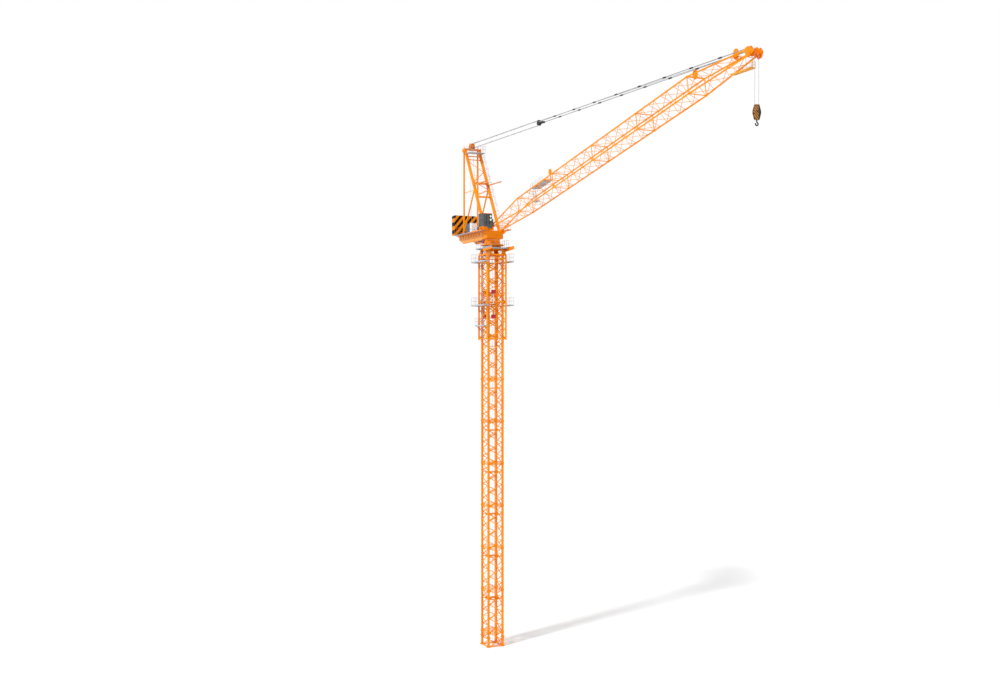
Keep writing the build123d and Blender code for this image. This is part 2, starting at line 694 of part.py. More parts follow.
# Cab bracket: a beam along the pedestal's side, with two arms out under a floor plate
with BuildPart() as cab_bracket:
    with Locations((cab_middle_x, cab_middle_y, CAB_LOW - CAB_FLOOR_THICK / 2)):
        Box(CAB_LONG, CAB_WIDE, CAB_FLOOR_THICK)
    beam_long = CAB_BACK + CAB_LONG - PLATFORM_FRONT + BRACKET_SEAT
    beam_middle = CAB_BACK + CAB_LONG - beam_long / 2
    with Locations((beam_middle, -pedestal_y - BRACKET_BEAM / 2, deck_low - BRACKET_BEAM / 2)):
        Box(beam_long, BRACKET_BEAM, BRACKET_BEAM)
    arm_long = CAB_WIDE - CAB_INNER - pedestal_y
    for arm_x in (CAB_BACK + BRACKET_BEAM, CAB_BACK + CAB_LONG - BRACKET_BEAM):
        arm_tall = CAB_LOW - deck_low + BRACKET_BEAM / 2
        with Locations((arm_x, -pedestal_y - arm_long / 2, CAB_LOW - arm_tall / 2)):
            Box(BRACKET_BEAM / 2, arm_long, arm_tall)
save(cab_bracket, "cab_bracket")

# Slewing drives: two motors that hang beside the turntable under the platform
with BuildPart() as slewing_drives:
    for side in (-1, 1):
        drive_place = (PLATFORM_BACK + DRIVE_R, side * DRIVE_Y)
        with Locations((*drive_place, PLATFORM_LOW - DRIVE_TALL)):
            Cylinder(DRIVE_R, DRIVE_TALL, align=(Align.CENTER, Align.CENTER, Align.MIN))
save(slewing_drives, "slewing_drives")

# A-frame: two raked front legs, upright rear ties and lower struts
def leg_x(z):
    """Where the middle of a front leg is at a height."""
    return LEG_FOOT_X - LEG_LEAN * (z - deck_low)


inner_face = HALF_WIDTH - A_LEG_WIDE / 2
with BuildPart() as a_frame_legs:
    for side in (-1, 1):
        y = side * HALF_WIDTH
        leg_low = deck_low - A_LEG_DEEP
        leg_high = A_HEAD_Z + A_LEG_DEEP
        strut((leg_x(leg_low), y, leg_low), (leg_x(leg_high), y, leg_high), A_LEG_WIDE, A_LEG_DEEP)
    for cross_z, cross_size in zip(CROSS_ZS, CROSS_SIZES):
        cross_x = leg_x(cross_z)
        strut((cross_x, -inner_face, cross_z), (cross_x, inner_face, cross_z), cross_size, cross_size)
    for i, (low_z, high_z) in enumerate(zip(BRACE_ZS, BRACE_ZS[1:])):
        brace_y = inner_face if i % 2 else -inner_face
        strut((leg_x(low_z), brace_y, low_z), (leg_x(high_z), -brace_y, high_z), BRACE, BRACE)
    split(bisect_by=Plane.XY.offset(deck_low), keep=Keep.TOP)
    split(bisect_by=Plane.XY.offset(A_HEAD_Z), keep=Keep.BOTTOM)
save(a_frame_legs, "a_frame_legs")

with BuildPart() as a_frame_ties:
    for side in (-1, 1):
        y = side * HALF_WIDTH
        strut((TIE_X, y, DECK_TOP), (TIE_X, y, A_HEAD_Z), TIE, TIE)
        strut((TIE_X, y, DECK_TOP + TIE), (leg_x(STRUT_Z), y, STRUT_Z), STRUT, STRUT)
        strut((TIE_X, y, TIE_BAR_Z), (leg_x(TIE_BAR_Z), y, TIE_BAR_Z), BRACE, BRACE)
    add(a_frame_legs.part, mode=Mode.SUBTRACT)
save(a_frame_ties, "a_frame_ties")

# A-frame head: a slotted beam across the legs, with two cheeks that carry the sheave axle
beam_top = A_HEAD_Z + HEAD_BEAM_TALL
beam_half = HALF_WIDTH + A_LEG_WIDE / 2
sheave_span = max(TOP_SHEAVE_YS) - min(TOP_SHEAVE_YS) + SHEAVE_THICK
sheave_middle = (max(TOP_SHEAVE_YS) + min(TOP_SHEAVE_YS)) / 2
housing_r = SHEAVE_R + HOUSING_EDGE
with BuildPart() as a_frame_head:
    with BuildSketch(Plane.XY.offset(A_HEAD_Z)):
        with Locations(((HEAD_BEAM_BACK + HEAD_BEAM_FRONT) / 2, 0)):
            Rectangle(HEAD_BEAM_FRONT - HEAD_BEAM_BACK, 2 * beam_half)
        with Locations(((SLOT_BACK + SLOT_FRONT) / 2, sheave_middle)):
            Rectangle(SLOT_FRONT - SLOT_BACK, sheave_span, mode=Mode.SUBTRACT)
    extrude(amount=HEAD_BEAM_TALL)
    for side in (-1, 1):
        cheek_y = sheave_middle + side * (sheave_span / 2 + CHEEK_THICK)
        with BuildSketch(Plane.XZ.offset(-cheek_y)) as cheek:
            with BuildLine():
                Polyline(
                    (HEAD_BEAM_BACK, beam_top),
                    (HEAD_BEAM_FRONT, beam_top),
                    (TOP_AXLE_X + housing_r, TOP_AXLE_Z),
                    (TOP_AXLE_X + housing_r / 2, TOP_AXLE_Z + housing_r),
                    (TOP_AXLE_X - housing_r / 2, TOP_AXLE_Z + housing_r),
                    (TOP_AXLE_X - housing_r, TOP_AXLE_Z),
                    close=True,
                )
            make_face()
        extrude(cheek.sketch, amount=CHEEK_THICK / 2, both=True)
    axle_half = sheave_span / 2 + 2 * CHEEK_THICK
    axle_right = (TOP_AXLE_X, sheave_middle - axle_half, TOP_AXLE_Z)
    axle_left = (TOP_AXLE_X, sheave_middle + axle_half, TOP_AXLE_Z)
    round_bar(axle_right, axle_left, AXLE_R)
    for side in (-1, 1):
        ear_y = side * (beam_half + PLATE_THICK / 2)
        with BuildSketch(Plane.XZ.offset(-ear_y)) as ear:
            with Locations(((HEAD_BEAM_BACK + HEAD_BEAM_FRONT) / 2, beam_top - HEAD_PLATE_TALL / 2)):
                Rectangle(HEAD_BEAM_FRONT - HEAD_BEAM_BACK, HEAD_PLATE_TALL)
            fillet(ear.vertices(), radius=PLATE_THICK)
        extrude(ear.sketch, amount=PLATE_THICK / 2, both=True)
save(a_frame_head, "a_frame_head")


def sheave(centre, radius, face):
    """A grooved rope sheave with a plain bore, turned about an axle along the face's normal."""
    half = SHEAVE_THICK / 2
    frame = Plane(origin=centre, x_dir=(0, 0, 1), z_dir=face)
    with BuildSketch(frame) as disc:
        Circle(radius)
        Circle(AXLE_R, mode=Mode.SUBTRACT)
    extrude(disc.sketch, amount=half, both=True)
    with BuildSketch(frame) as groove:
        Circle(radius)
        Circle(radius - GROOVE, mode=Mode.SUBTRACT)
    extrude(groove.sketch, amount=GROOVE / 2, both=True, mode=Mode.SUBTRACT)


with BuildPart() as top_sheaves:
    for sheave_y in TOP_SHEAVE_YS:
        sheave((TOP_AXLE_X, sheave_y, TOP_AXLE_Z), SHEAVE_R, (0, 1, 0))
save(top_sheaves, "top_sheaves")

# Head platform in front of the A-frame head, on two arms from the legs
head_deck_z = A_HEAD_Z - HEAD_DECK_DROP
head_deck_back = leg_x(head_deck_z) + HEAD_DECK_GAP
head_deck_front = head_deck_back + HEAD_DECK_LONG
with BuildPart() as head_platform:
    with BuildSketch(Plane.XY.offset(head_deck_z)):
        with Locations(((head_deck_back + head_deck_front) / 2, 0)):
            Rectangle(HEAD_DECK_LONG, 2 * HEAD_DECK_HALF)
    extrude(amount=DECK_THICK)
    for side in (-1, 1):
        strut((leg_x(head_deck_z), side * HALF_WIDTH, head_deck_z - BRACE / 2),
              (head_deck_front, side * HALF_WIDTH, head_deck_z - BRACE / 2), BRACE, BRACE)
    add(a_frame_legs.part, mode=Mode.SUBTRACT)
save(head_platform, "head_platform")

# Backstops: two level buffer bars from the front legs
with BuildPart() as backstops:
    for side in (-1, 1):
        y = side * HALF_WIDTH
        strut((leg_x(BACKSTOP_Z), y, BACKSTOP_Z), (BACKSTOP_TIP, y, BACKSTOP_Z), BACKSTOP_BAR, BACKSTOP_BAR)
        strut((leg_x(BACKSTOP_Z - BACKSTOP_DROP), y, BACKSTOP_Z - BACKSTOP_DROP),
              (leg_x(BACKSTOP_Z) + BACKSTOP_DROP, y, BACKSTOP_Z), BRACE, BRACE)
    add(a_frame_legs.part, mode=Mode.SUBTRACT)
save(backstops, "backstops")

# Winch ropes: from the back of the drums up to the back of the sheaves in the A-frame head
pitch_r = SHEAVE_R - GROOVE + ROPE / 2 + ROPE_SEAT
drum_r = WINCH_R + ROPE / 2 + ROPE_SEAT
with BuildPart() as winch_ropes:
    for rope_y, winch_x in ((HOIST_Y, HOIST_WINCH_X), (LUFF_YS[-1], LUFF_WINCH_X)):
        drum_axle = Vector(winch_x, rope_y, WINCH_AXLE_Z)
        sheave_axle = Vector(TOP_AXLE_X, rope_y, TOP_AXLE_Z)
        run = (sheave_axle - drum_axle).normalized()
        behind = Vector(-run.Z, 0, run.X)
        lean = asin((drum_r - pitch_r) / (sheave_axle - drum_axle).length)
        touch = run * sin(lean) + behind * cos(lean)
        strut(drum_axle + touch * drum_r, sheave_axle + touch * pitch_r, ROPE, ROPE)
save(winch_ropes, "winch_ropes")

# Jib, drawn in its own frame: along the jib, across it and up from the line through the foot pins
luff = radians(LUFF_AT_REST)
jib_along = Vector(cos(luff), 0, sin(luff))
jib_up = Vector(-sin(luff), 0, cos(luff))


def jib_point(x, y, z):
    """A point given along, across and up from the foot pins, in the crane's frame."""
    return Vector(PIVOT_X, y, PIVOT_Z) + jib_along * x + jib_up * z


def lattice(plane, long, low, high, fields, skip, stop=0.0):
    """Zigzag bars and end posts in a plane, between a low and a high edge given by their two ends."""
    def edge(ends, x):
        return ends[0] + (ends[1] - ends[0]) * x / long

    step = (long - skip - stop - CHORD) / fields
    with BuildSketch(plane) as bars:
        for i in range(fields):
            x = skip + CHORD / 2 + i * step
            middle = x + step / 2
            flat_bar((x, edge(low, x)), (middle, edge(high, middle)), LACE)
            flat_bar((middle, edge(high, middle)), (x + step, edge(low, x + step)), LACE)
        for x in {skip + CHORD / 2, long - stop - CHORD / 2, long - CHORD / 2}:
            flat_bar((x, edge(low, x)), (x, edge(high, x)), LACE)
    extrude(bars.sketch, amount=LACE / 2, both=True)


def jib_frame(x_ends, y_ends, top_ends, bottom_ends, fields, skip=0.0, top_stop=0.0):
    """Four chords and their lacing between two cross-sections, cut square at both ends."""
    for side in (-1, 1):
        start = jib_point(x_ends[0], side * y_ends[0], 0)
        run = jib_point(x_ends[1], side * y_ends[1], 0) - start
        plane = Plane(origin=start, x_dir=run, z_dir=run.cross(jib_up))
        with BuildSketch(plane) as chords:
            for ends in (top_ends, bottom_ends):
                rise = (ends[1] - ends[0]) / run.length
                chord_start = (-CHORD, ends[0] - rise * CHORD)
                flat_bar(chord_start, (run.length + CHORD, ends[1] + rise * CHORD), CHORD)
        extrude(chords.sketch, amount=CHORD / 2, both=True)
        lattice(plane, run.length, bottom_ends, top_ends, fields, skip)
    for ends, stop in ((top_ends, top_stop), (bottom_ends, 0)):
        start = jib_point(x_ends[0], 0, ends[0])
        run = jib_point(x_ends[1], 0, ends[1]) - start
        plane = Plane(origin=start, x_dir=run, z_dir=run.cross(Vector(0, 1, 0)))
        lattice(plane, run.length, [-y for y in y_ends], y_ends, fields, skip, stop)
    split(bisect_by=Plane(origin=jib_point(x_ends[1], 0, 0), z_dir=jib_along), keep=Keep.BOTTOM)
    if x_ends[0] > 0:
        split(bisect_by=Plane(origin=jib_point(x_ends[0], 0, 0), z_dir=jib_along), keep=Keep.TOP)


# Foot section, tapering to an eye on each foot pin
with BuildPart() as jib_foot:
    foot_wide = (HALF_WIDTH, HALF_WIDTH)
    jib_frame((0, FOOT_LONG), foot_wide, (0, JIB_TOP), (0, JIB_BOTTOM), TAPER_FIELDS, FOOT_SKIP)
    for side in (-1, 1):
        eye_right = (PIVOT_X, side * HALF_WIDTH - CHORD / 2, PIVOT_Z)
        eye_left = (PIVOT_X, side * HALF_WIDTH + CHORD / 2, PIVOT_Z)
        round_bar(eye_right, eye_left, EYE_R)
        round_bar(eye_right, eye_left, PIN_R + PIN_CLEAR, Mode.SUBTRACT)
save(jib_foot, "jib_foot")

straight_step = STRAIGHT_LONG / STRAIGHT_SECTIONS
for i in range(STRAIGHT_SECTIONS):
    section_start = FOOT_LONG + i * straight_step
    section_ends = (section_start, section_start + straight_step)
    with BuildPart() as jib_section:
        jib_frame(section_ends, foot_wide, (JIB_TOP, JIB_TOP), (JIB_BOTTOM, JIB_BOTTOM), FIELDS)
    save(jib_section, f"jib_section_{i + 1}")

head_start = FOOT_LONG + STRAIGHT_LONG
with BuildPart() as jib_head:
    head_ends = (head_start, HEAD_END)
    head_tops = (JIB_TOP, HEAD_TOP)
    head_lows = (JIB_BOTTOM, HEAD_BOTTOM)
    jib_frame(head_ends, (HALF_WIDTH, HEAD_HALF), head_tops, head_lows, TAPER_FIELDS, top_stop=ROPE_OPENING)
save(jib_head, "jib_head")


def jib_plate(y, thick):
    """A plane along the jib whose sketch is drawn along and up from the foot pins."""
    return Plane(origin=(PIVOT_X, y + thick / 2, PIVOT_Z), x_dir=jib_along, z_dir=(0, -1, 0))


# Head plates, with the sheave axle and a stub pin for each pendant
with BuildPart() as jib_head_plates:
    for side in (-1, 1):
        with BuildSketch(jib_plate(side * HEAD_HALF, PLATE_THICK)) as plate:
            with BuildLine():
                Polyline(
                    (HEAD_END, HEAD_PLATE_LOW),
                    (SHEAVE_ALONG, HEAD_PLATE_LOW),
                    (HEAD_PLATE_END, SHEAVE_UP - AXLE_R),
                    (HEAD_PLATE_END, SHEAVE_UP + 2 * AXLE_R),
                    (PENDANT_ALONG + 2 * PENDANT_EYE_R, HEAD_PLATE_HIGH),
                    (HEAD_END, HEAD_PLATE_HIGH),
                    close=True,
                )
            make_face()
        extrude(plate.sketch, amount=PLATE_THICK)
        pin_in = side * (PENDANT_Y - PENDANT_BAR / 2 - SIDE_CLEAR)
        pin_root = jib_point(PENDANT_ALONG, side * HEAD_HALF, PENDANT_UP)
        round_bar(pin_root, jib_point(PENDANT_ALONG, pin_in, PENDANT_UP), PENDANT_PIN_R)
    axle_left = jib_point(SHEAVE_ALONG, HEAD_HALF + PLATE_THICK / 2 + 2 * GUARD_THICK, SHEAVE_UP)
    round_bar(jib_point(SHEAVE_ALONG, -HEAD_HALF - PLATE_THICK, SHEAVE_UP), axle_left, AXLE_R)
save(jib_head_plates, "jib_head_plates")

with BuildPart() as head_sheaves:
    for side in (-1, 1):
        sheave(jib_point(SHEAVE_ALONG, side * FALL_Y, SHEAVE_UP), SHEAVE_R, (0, 1, 0))
save(head_sheaves, "head_sheaves")

# Six-sided sheave guard outside the left head plate
guard_y = HEAD_HALF + (PLATE_THICK + GUARD_THICK) / 2
with BuildPart() as sheave_guard:
    with BuildSketch(jib_plate(guard_y, GUARD_THICK)):
        with Locations((SHEAVE_ALONG, SHEAVE_UP)):
            RegularPolygon(GUARD_R, 6)
            Circle(AXLE_R, mode=Mode.SUBTRACT)
    extrude(amount=GUARD_THICK)
save(sheave_guard, "sheave_guard")


def head_share(x):
    """How far along the tapering head section a distance from the foot pins is, nought before it."""
    return max(0.0, (x - head_start) / (HEAD_END - head_start))


def top_height(x):
    """How far the top chords' middle is above the foot pin line at a distance along the jib."""
    return JIB_TOP + (HEAD_TOP - JIB_TOP) * head_share(x)


def half_width(x):
    """How far the chords are from the middle at a distance along the jib."""
    return HALF_WIDTH + (HEAD_HALF - HALF_WIDTH) * head_share(x)


# Rope guides: an oval plate beside the hoist rope, standing on a bar across the top chords
with BuildPart() as rope_guides:
    for guide_x, guide_tall in zip(GUIDE_POSITIONS, GUIDE_TALLS):
        seat = top_height(guide_x) + CHORD / 2
        bar_right = -HALF_WIDTH if guide_x < HEAD_END - ROPE_OPENING else GUIDE_Y
        bar_wide = half_width(guide_x) - bar_right
        with BuildSketch(jib_plate(bar_right + bar_wide / 2, bar_wide)) as bar_end:
            with Locations((guide_x, seat + GUIDE_BAR / 2)):
                Rectangle(GUIDE_BAR, GUIDE_BAR)
        extrude(bar_end.sketch, amount=bar_wide)
        with BuildSketch(jib_plate(GUIDE_Y, GUIDE_BAR)) as plate:
            with Locations((guide_x, seat + guide_tall - GUIDE_OVAL_TALL / 2)):
                Ellipse(GUIDE_OVAL_LONG / 2, GUIDE_OVAL_TALL / 2)
            with Locations((guide_x, seat + guide_tall / 2 - GUIDE_OVAL_TALL / 4)):
                Rectangle(GUIDE_STEM, guide_tall - GUIDE_OVAL_TALL / 2)
        extrude(plate.sketch, amount=GUIDE_BAR)
    add(jib_head.part, mode=Mode.SUBTRACT)
save(rope_guides, "rope_guides")

# Jib platforms: a deck on the top chords, and a level strip hung under the left side of the head
head_sheave = jib_point(SHEAVE_ALONG, 0, SHEAVE_UP)
tip_z = head_sheave.Z - TIP_DROP
tip_front = head_sheave.X - TIP_SHORT
tip_back = tip_front - TIP_LONG
with BuildPart() as jib_platforms:
    walk_seat = jib_point(0, 0, JIB_TOP + CHORD / 2)
    with BuildSketch(Plane(origin=walk_seat, x_dir=jib_along, z_dir=jib_up)) as walk:
        with Locations(((WALK_START + WALK_END) / 2, (WALK_LEFT - HALF_WIDTH) / 2)):
            Rectangle(WALK_END - WALK_START, HALF_WIDTH + WALK_LEFT)
    extrude(walk.sketch, amount=DECK_THICK)
    with BuildSketch(Plane.XY.offset(tip_z)) as strip:
        with Locations(((tip_back + tip_front) / 2, (TIP_OUTER + TIP_INNER) / 2)):
            Rectangle(TIP_LONG, TIP_OUTER - TIP_INNER)
    extrude(strip.sketch, amount=DECK_THICK)
    for hanger_x in (tip_back + HANGER, tip_front - HANGER):
        along = (hanger_x - PIVOT_X) / cos(luff)
        hanger_y = half_width(min(along, HEAD_END))
        chord_z = jib_point(along, 0, HEAD_BOTTOM).Z
        strut((hanger_x, hanger_y, tip_z), (hanger_x, hanger_y, chord_z), HANGER, HANGER)
    add(jib_head.part, mode=Mode.SUBTRACT)
    add(jib_head_plates.part, mode=Mode.SUBTRACT)
save(jib_platforms, "jib_platforms")

# Pendants: two lines of bars from the equalizer to the pins in the jib head
head_axle = Vector(TOP_AXLE_X, 0, TOP_AXLE_Z)
pendant_pin = jib_point(PENDANT_ALONG, 0, PENDANT_UP)
line_along = (pendant_pin - head_axle).normalized()
line_up = Vector(-line_along.Z, 0, line_along.X)


def line_point(x, y, z):
    """A point given along the pendants from their far pins, across and up, in the crane's frame."""
    return Vector(0, y, 0) + pendant_pin + line_along * x + line_up * z


with BuildPart() as pendant_bars:
    for side in (-1, 1):
        y = side * PENDANT_Y
        strut(line_point(-PENDANT_LONG, y, 0), line_point(0, y, 0), PENDANT_BAR, PENDANT_BAR)
        for i in range(COUPLERS):
            coupler_end = -COUPLER_FIRST - i * COUPLER_PITCH
            coupler_start = line_point(coupler_end - COUPLER_LONG, y, 0)
            strut(coupler_start, line_point(coupler_end, y, 0), COUPLER, COUPLER)
        eye_right = line_point(0, y - PENDANT_BAR / 2, 0)
        eye_left = line_point(0, y + PENDANT_BAR / 2, 0)
        round_bar(eye_right, eye_left, PENDANT_EYE_R)
        round_bar(eye_right, eye_left, PENDANT_PIN_R + PIN_CLEAR, Mode.SUBTRACT)
save(pendant_bars, "pendant_bars")

# Equalizer: a cross beam behind the pendants, with cheeks that carry the tackle's sheaves
equalizer_axle = line_point(-PENDANT_LONG - EQUALIZER_REACH, 0, 0)
tackle_half = (max(LUFF_YS) - min(LUFF_YS) + SHEAVE_THICK) / 2
with BuildPart() as equalizer:
    beam_back = line_point(-PENDANT_LONG - EQUALIZER_LONG, 0, 0)
    strut(beam_back, line_point(-PENDANT_LONG, 0, 0), 2 * EQUALIZER_HALF, EQUALIZER_TALL)
    for side in (-1, 1):
        cheek_y = side * (tackle_half + CHEEK_THICK / 2 + SIDE_CLEAR)
        strut(line_point(-PENDANT_LONG - EQUALIZER_REACH - SHEAVE_R / 2, cheek_y, 0),
              line_point(-PENDANT_LONG - EQUALIZER_LONG, cheek_y, 0), CHEEK_THICK, SHEAVE_R)
    axle_y = tackle_half + CHEEK_THICK + SIDE_CLEAR
    round_bar(equalizer_axle - Vector(0, axle_y, 0), equalizer_axle + Vector(0, axle_y, 0), AXLE_R)
save(equalizer, "equalizer")

with BuildPart() as tackle_sheaves:
    for sheave_y in LUFF_YS:
        sheave(equalizer_axle + Vector(0, sheave_y, 0), SHEAVE_R, (0, 1, 0))
save(tackle_sheaves, "tackle_sheaves")

# Hoist rope: over the A-frame head and along the pendants to the jib head, in two lengths
hoist_run = head_sheave - head_axle
hoist_up = Vector(-hoist_run.Z, 0, hoist_run.X).normalized() * pitch_r
hoist_start = head_axle + hoist_up + Vector(0, HOIST_Y, 0)
hoist_end = head_sheave + hoist_up + Vector(0, -FALL_Y, 0)
hoist_share = (equalizer_axle - head_axle).length / hoist_run.length
hoist_split = hoist_start + (hoist_end - hoist_start) * hoist_share
with BuildPart() as hoist_rope:
    strut(hoist_split, hoist_end, ROPE, ROPE)
save(hoist_rope, "hoist_rope")

# Luffing ropes: the tackle between the A-frame head and the equalizer, with the hoist rope beside it
with BuildPart() as luffing_ropes:
    for rope_y in LUFF_YS:
        for way in (-1, 1):
            shift = line_up * (way * pitch_r) + Vector(0, rope_y, 0)
            strut(head_axle + shift, equalizer_axle + shift, ROPE, ROPE)
    strut(hoist_start, hoist_split, ROPE, ROPE)
save(luffing_ropes, "luffing_ropes")

# Hook falls: two plumb ropes from the head sheaves to the sheave in the hook block
fall_x = head_sheave.X + pitch_r
block_middle = BLOCK_TOP - BLOCK_TALL / 2
block_axle = Vector(fall_x, 0, block_middle + BLOCK_SHEAVE_UP)
with BuildPart() as hook_falls:
    for side in (-1, 1):
        strut((fall_x, side * FALL_Y, block_axle.Z), (fall_x, side * FALL_Y, head_sheave.Z), ROPE, ROPE)
save(hook_falls, "hook_falls")

# Hook block: two six-sided cheeks, the sheave axle and a crosshead bored for the hook
block_low = BLOCK_TOP - BLOCK_TALL
with BuildPart() as hook_block:
    for way in (-1, 1):
        cheek_x = fall_x + way * (CHEEK_GAP + CHEEK_THICK) / 2
        with BuildSketch(Plane.YZ.offset(cheek_x)) as cheek:
            with BuildLine():
                Polyline(
                    (-BLOCK_NARROW / 2, block_low),
                    (BLOCK_NARROW / 2, block_low),
                    (BLOCK_WIDE / 2, block_middle),
                    (BLOCK_NARROW / 2, BLOCK_TOP),
                    (-BLOCK_NARROW / 2, BLOCK_TOP),
                    (-BLOCK_WIDE / 2, block_middle),
                    close=True,
                )
            make_face()
        extrude(cheek.sketch, amount=CHEEK_THICK / 2, both=True)
    cheek_out = CHEEK_GAP / 2 + CHEEK_THICK
    round_bar(block_axle - Vector(cheek_out, 0, 0), block_axle + Vector(cheek_out, 0, 0), AXLE_R)
    with Locations((fall_x, 0, block_low + CROSSHEAD_TALL / 2)):
        Box(CHEEK_GAP, 2 * CROSSHEAD_HALF, CROSSHEAD_TALL)
    bore_top = (fall_x, 0, block_low + CROSSHEAD_TALL)
    round_bar((fall_x, 0, block_low), bore_top, HOOK_WIRE / 2 + PIN_CLEAR, Mode.SUBTRACT)
save(hook_block, "hook_block")

block_sheave_r = FALL_Y + GROOVE - ROPE / 2 - ROPE_SEAT
with BuildPart() as block_sheave:
    sheave(block_axle, block_sheave_r, (1, 0, 0))
save(block_sheave, "block_sheave")

# Hook: a round bar bent into a bowl, hung from a nut on the crosshead
with BuildPart() as hook:
    nut_low = block_low + CROSSHEAD_TALL + BEARING_GAP
    round_bar((fall_x, 0, nut_low), (fall_x, 0, nut_low + HOOK_NUT), CHEEK_GAP / 2 - SIDE_CLEAR)
    round_bar((fall_x, 0, block_low - HOOK_SHANK), (fall_x, 0, nut_low), HOOK_WIRE / 2)
    with BuildLine(Plane.YZ.offset(fall_x)) as bend:
        out = JernArc(start=(0, block_low - HOOK_SHANK), tangent=(0, -1), radius=HOOK_R, arc_size=HOOK_BEND)
        back = JernArc(start=out @ 1, tangent=out % 1, radius=HOOK_R, arc_size=-HOOK_BEND)
        JernArc(start=back @ 1, tangent=back % 1, radius=HOOK_R, arc_size=-HOOK_TURN)
    with BuildSketch(Plane(origin=(fall_x, 0, block_low - HOOK_SHANK), z_dir=(0, 0, -1))) as wire:
        Circle(HOOK_WIRE / 2)
    sweep(wire.sketch, path=bend.line)
save(hook, "hook")

hook_bowl = block_low - HOOK_SHANK - 2 * HOOK_R * sin(radians(HOOK_BEND))
print("luff pivot", PIVOT_X, PIVOT_Z)
print("pendant pin", pendant_pin)
print("head axle", head_axle)
print("head sheave", head_sheave)
print("fall x", fall_x, "hook bowl z", hook_bowl, "rope length", (equalizer_axle - head_axle).length)
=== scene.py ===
"""Looks for the luffing tower crane: materials, rails, ladders, gratings, ropes, lights and camera.

Places are written in millimetres in the crane's frame, as in the part's source, and turned into metres
when a mesh is made.
"""
from math import atan2, ceil, cos, pi, radians, sin

import bpy
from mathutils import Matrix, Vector


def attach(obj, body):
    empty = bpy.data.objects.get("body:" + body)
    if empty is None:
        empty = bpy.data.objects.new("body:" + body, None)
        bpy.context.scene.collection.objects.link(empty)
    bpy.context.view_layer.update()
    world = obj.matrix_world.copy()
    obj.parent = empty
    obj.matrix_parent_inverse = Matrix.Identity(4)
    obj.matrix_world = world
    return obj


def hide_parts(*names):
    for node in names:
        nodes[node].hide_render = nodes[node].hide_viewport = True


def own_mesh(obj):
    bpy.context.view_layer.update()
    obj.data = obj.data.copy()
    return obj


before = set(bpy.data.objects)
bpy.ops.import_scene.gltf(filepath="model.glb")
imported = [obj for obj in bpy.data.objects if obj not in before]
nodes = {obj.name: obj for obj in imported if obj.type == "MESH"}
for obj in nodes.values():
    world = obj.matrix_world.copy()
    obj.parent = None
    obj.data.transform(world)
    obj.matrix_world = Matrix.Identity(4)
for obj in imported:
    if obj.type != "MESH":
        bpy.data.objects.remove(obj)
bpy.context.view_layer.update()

# Camera
cam_data = bpy.data.cameras.new("camera")
cam_data.sensor_width = 36.0
cam_data.lens = 42.3
cam_data.clip_end = 200.0
camera = bpy.data.objects.new("camera", cam_data)
camera.location = (15.27, -7.0, 4.25)
camera.rotation_euler = (radians(90), 0, radians(65))
bpy.context.scene.collection.objects.link(camera)
bpy.context.scene.camera = camera
bpy.context.scene.view_settings.view_transform = "Standard"


# Materials
def new_material(name):
    """A node material with its shader, its tree and a texture place in the object's own metres."""
    material = bpy.data.materials.new(name)
    material.use_nodes = True
    tree = material.node_tree
    shader = tree.nodes["Principled BSDF"]
    place = tree.nodes.new("ShaderNodeTexCoord")
    return material, tree, shader, place.outputs["Object"]


def noise(tree, place, scale, detail=4.0):
    """A noise value over the object's own coordinates."""
    node = tree.nodes.new("ShaderNodeTexNoise")
    node.inputs["Scale"].default_value = scale
    node.inputs["Detail"].default_value = detail
    tree.links.new(place, node.inputs["Vector"])
    return node.outputs["Fac"]


def ramp(tree, value, low, high, first, last):
    """A value turned into a colour between two, from one level to another."""
    node = tree.nodes.new("ShaderNodeValToRGB")
    node.color_ramp.elements[0].position = low
    node.color_ramp.elements[1].position = high
    node.color_ramp.elements[0].color = (*first, 1)
    node.color_ramp.elements[1].color = (*last, 1)
    tree.links.new(value, node.inputs["Fac"])
    return node.outputs["Color"]


def span(tree, value, low, high):
    """A value from 0 to 1 stretched to a range."""
    node = tree.nodes.new("ShaderNodeMapRange")
    node.inputs["To Min"].default_value = low
    node.inputs["To Max"].default_value = high
    tree.links.new(value, node.inputs["Value"])
    return node.outputs["Result"]


def mix(tree, share, first, last):
    """Two colours, each a socket or a tuple, mixed by a value."""
    node = tree.nodes.new("ShaderNodeMix")
    node.data_type = "RGBA"
    tree.links.new(share, node.inputs["Factor"])
    for socket, source in ((node.inputs["A"], first), (node.inputs["B"], last)):
        if isinstance(source, tuple):
            socket.default_value = (*source, 1)
        else:
            tree.links.new(source, socket)
    return node.outputs["Result"]


def bump(tree, shader, height, strength, distance):
    """A fine relief on the shader's normal."""
    node = tree.nodes.new("ShaderNodeBump")
    node.inputs["Strength"].default_value = strength
    node.inputs["Distance"].default_value = distance
    tree.links.new(height, node.inputs["Height"])
    tree.links.new(node.outputs["Normal"], shader.inputs["Normal"])


def painted(name, dark, light, dirt, roughness=0.42, metallic=0.0, gloss=0.28):
    """Paint or metal with a slow change of shade, fine dust and a faint orange-peel bump."""
    material, tree, shader, place = new_material(name)
    shade = ramp(tree, noise(tree, place, 2.3), 0.35, 0.65, dark, light)
    dust = noise(tree, place, 38.0, 8.0)
    sharp = tree.nodes.new("ShaderNodeMapRange")
    sharp.inputs["From Min"].default_value = 0.56
    sharp.inputs["From Max"].default_value = 0.8
    tree.links.new(dust, sharp.inputs["Value"])
    tree.links.new(mix(tree, sharp.outputs["Result"], shade, dirt), shader.inputs["Base Color"])
    tree.links.new(span(tree, dust, roughness - 0.1, roughness + 0.14), shader.inputs["Roughness"])
    shader.inputs["Metallic"].default_value = metallic
    shader.inputs["Specular IOR Level"].default_value = gloss
    bump(tree, shader, noise(tree, place, 260.0, 2.0), 0.08, 0.001)
    return material


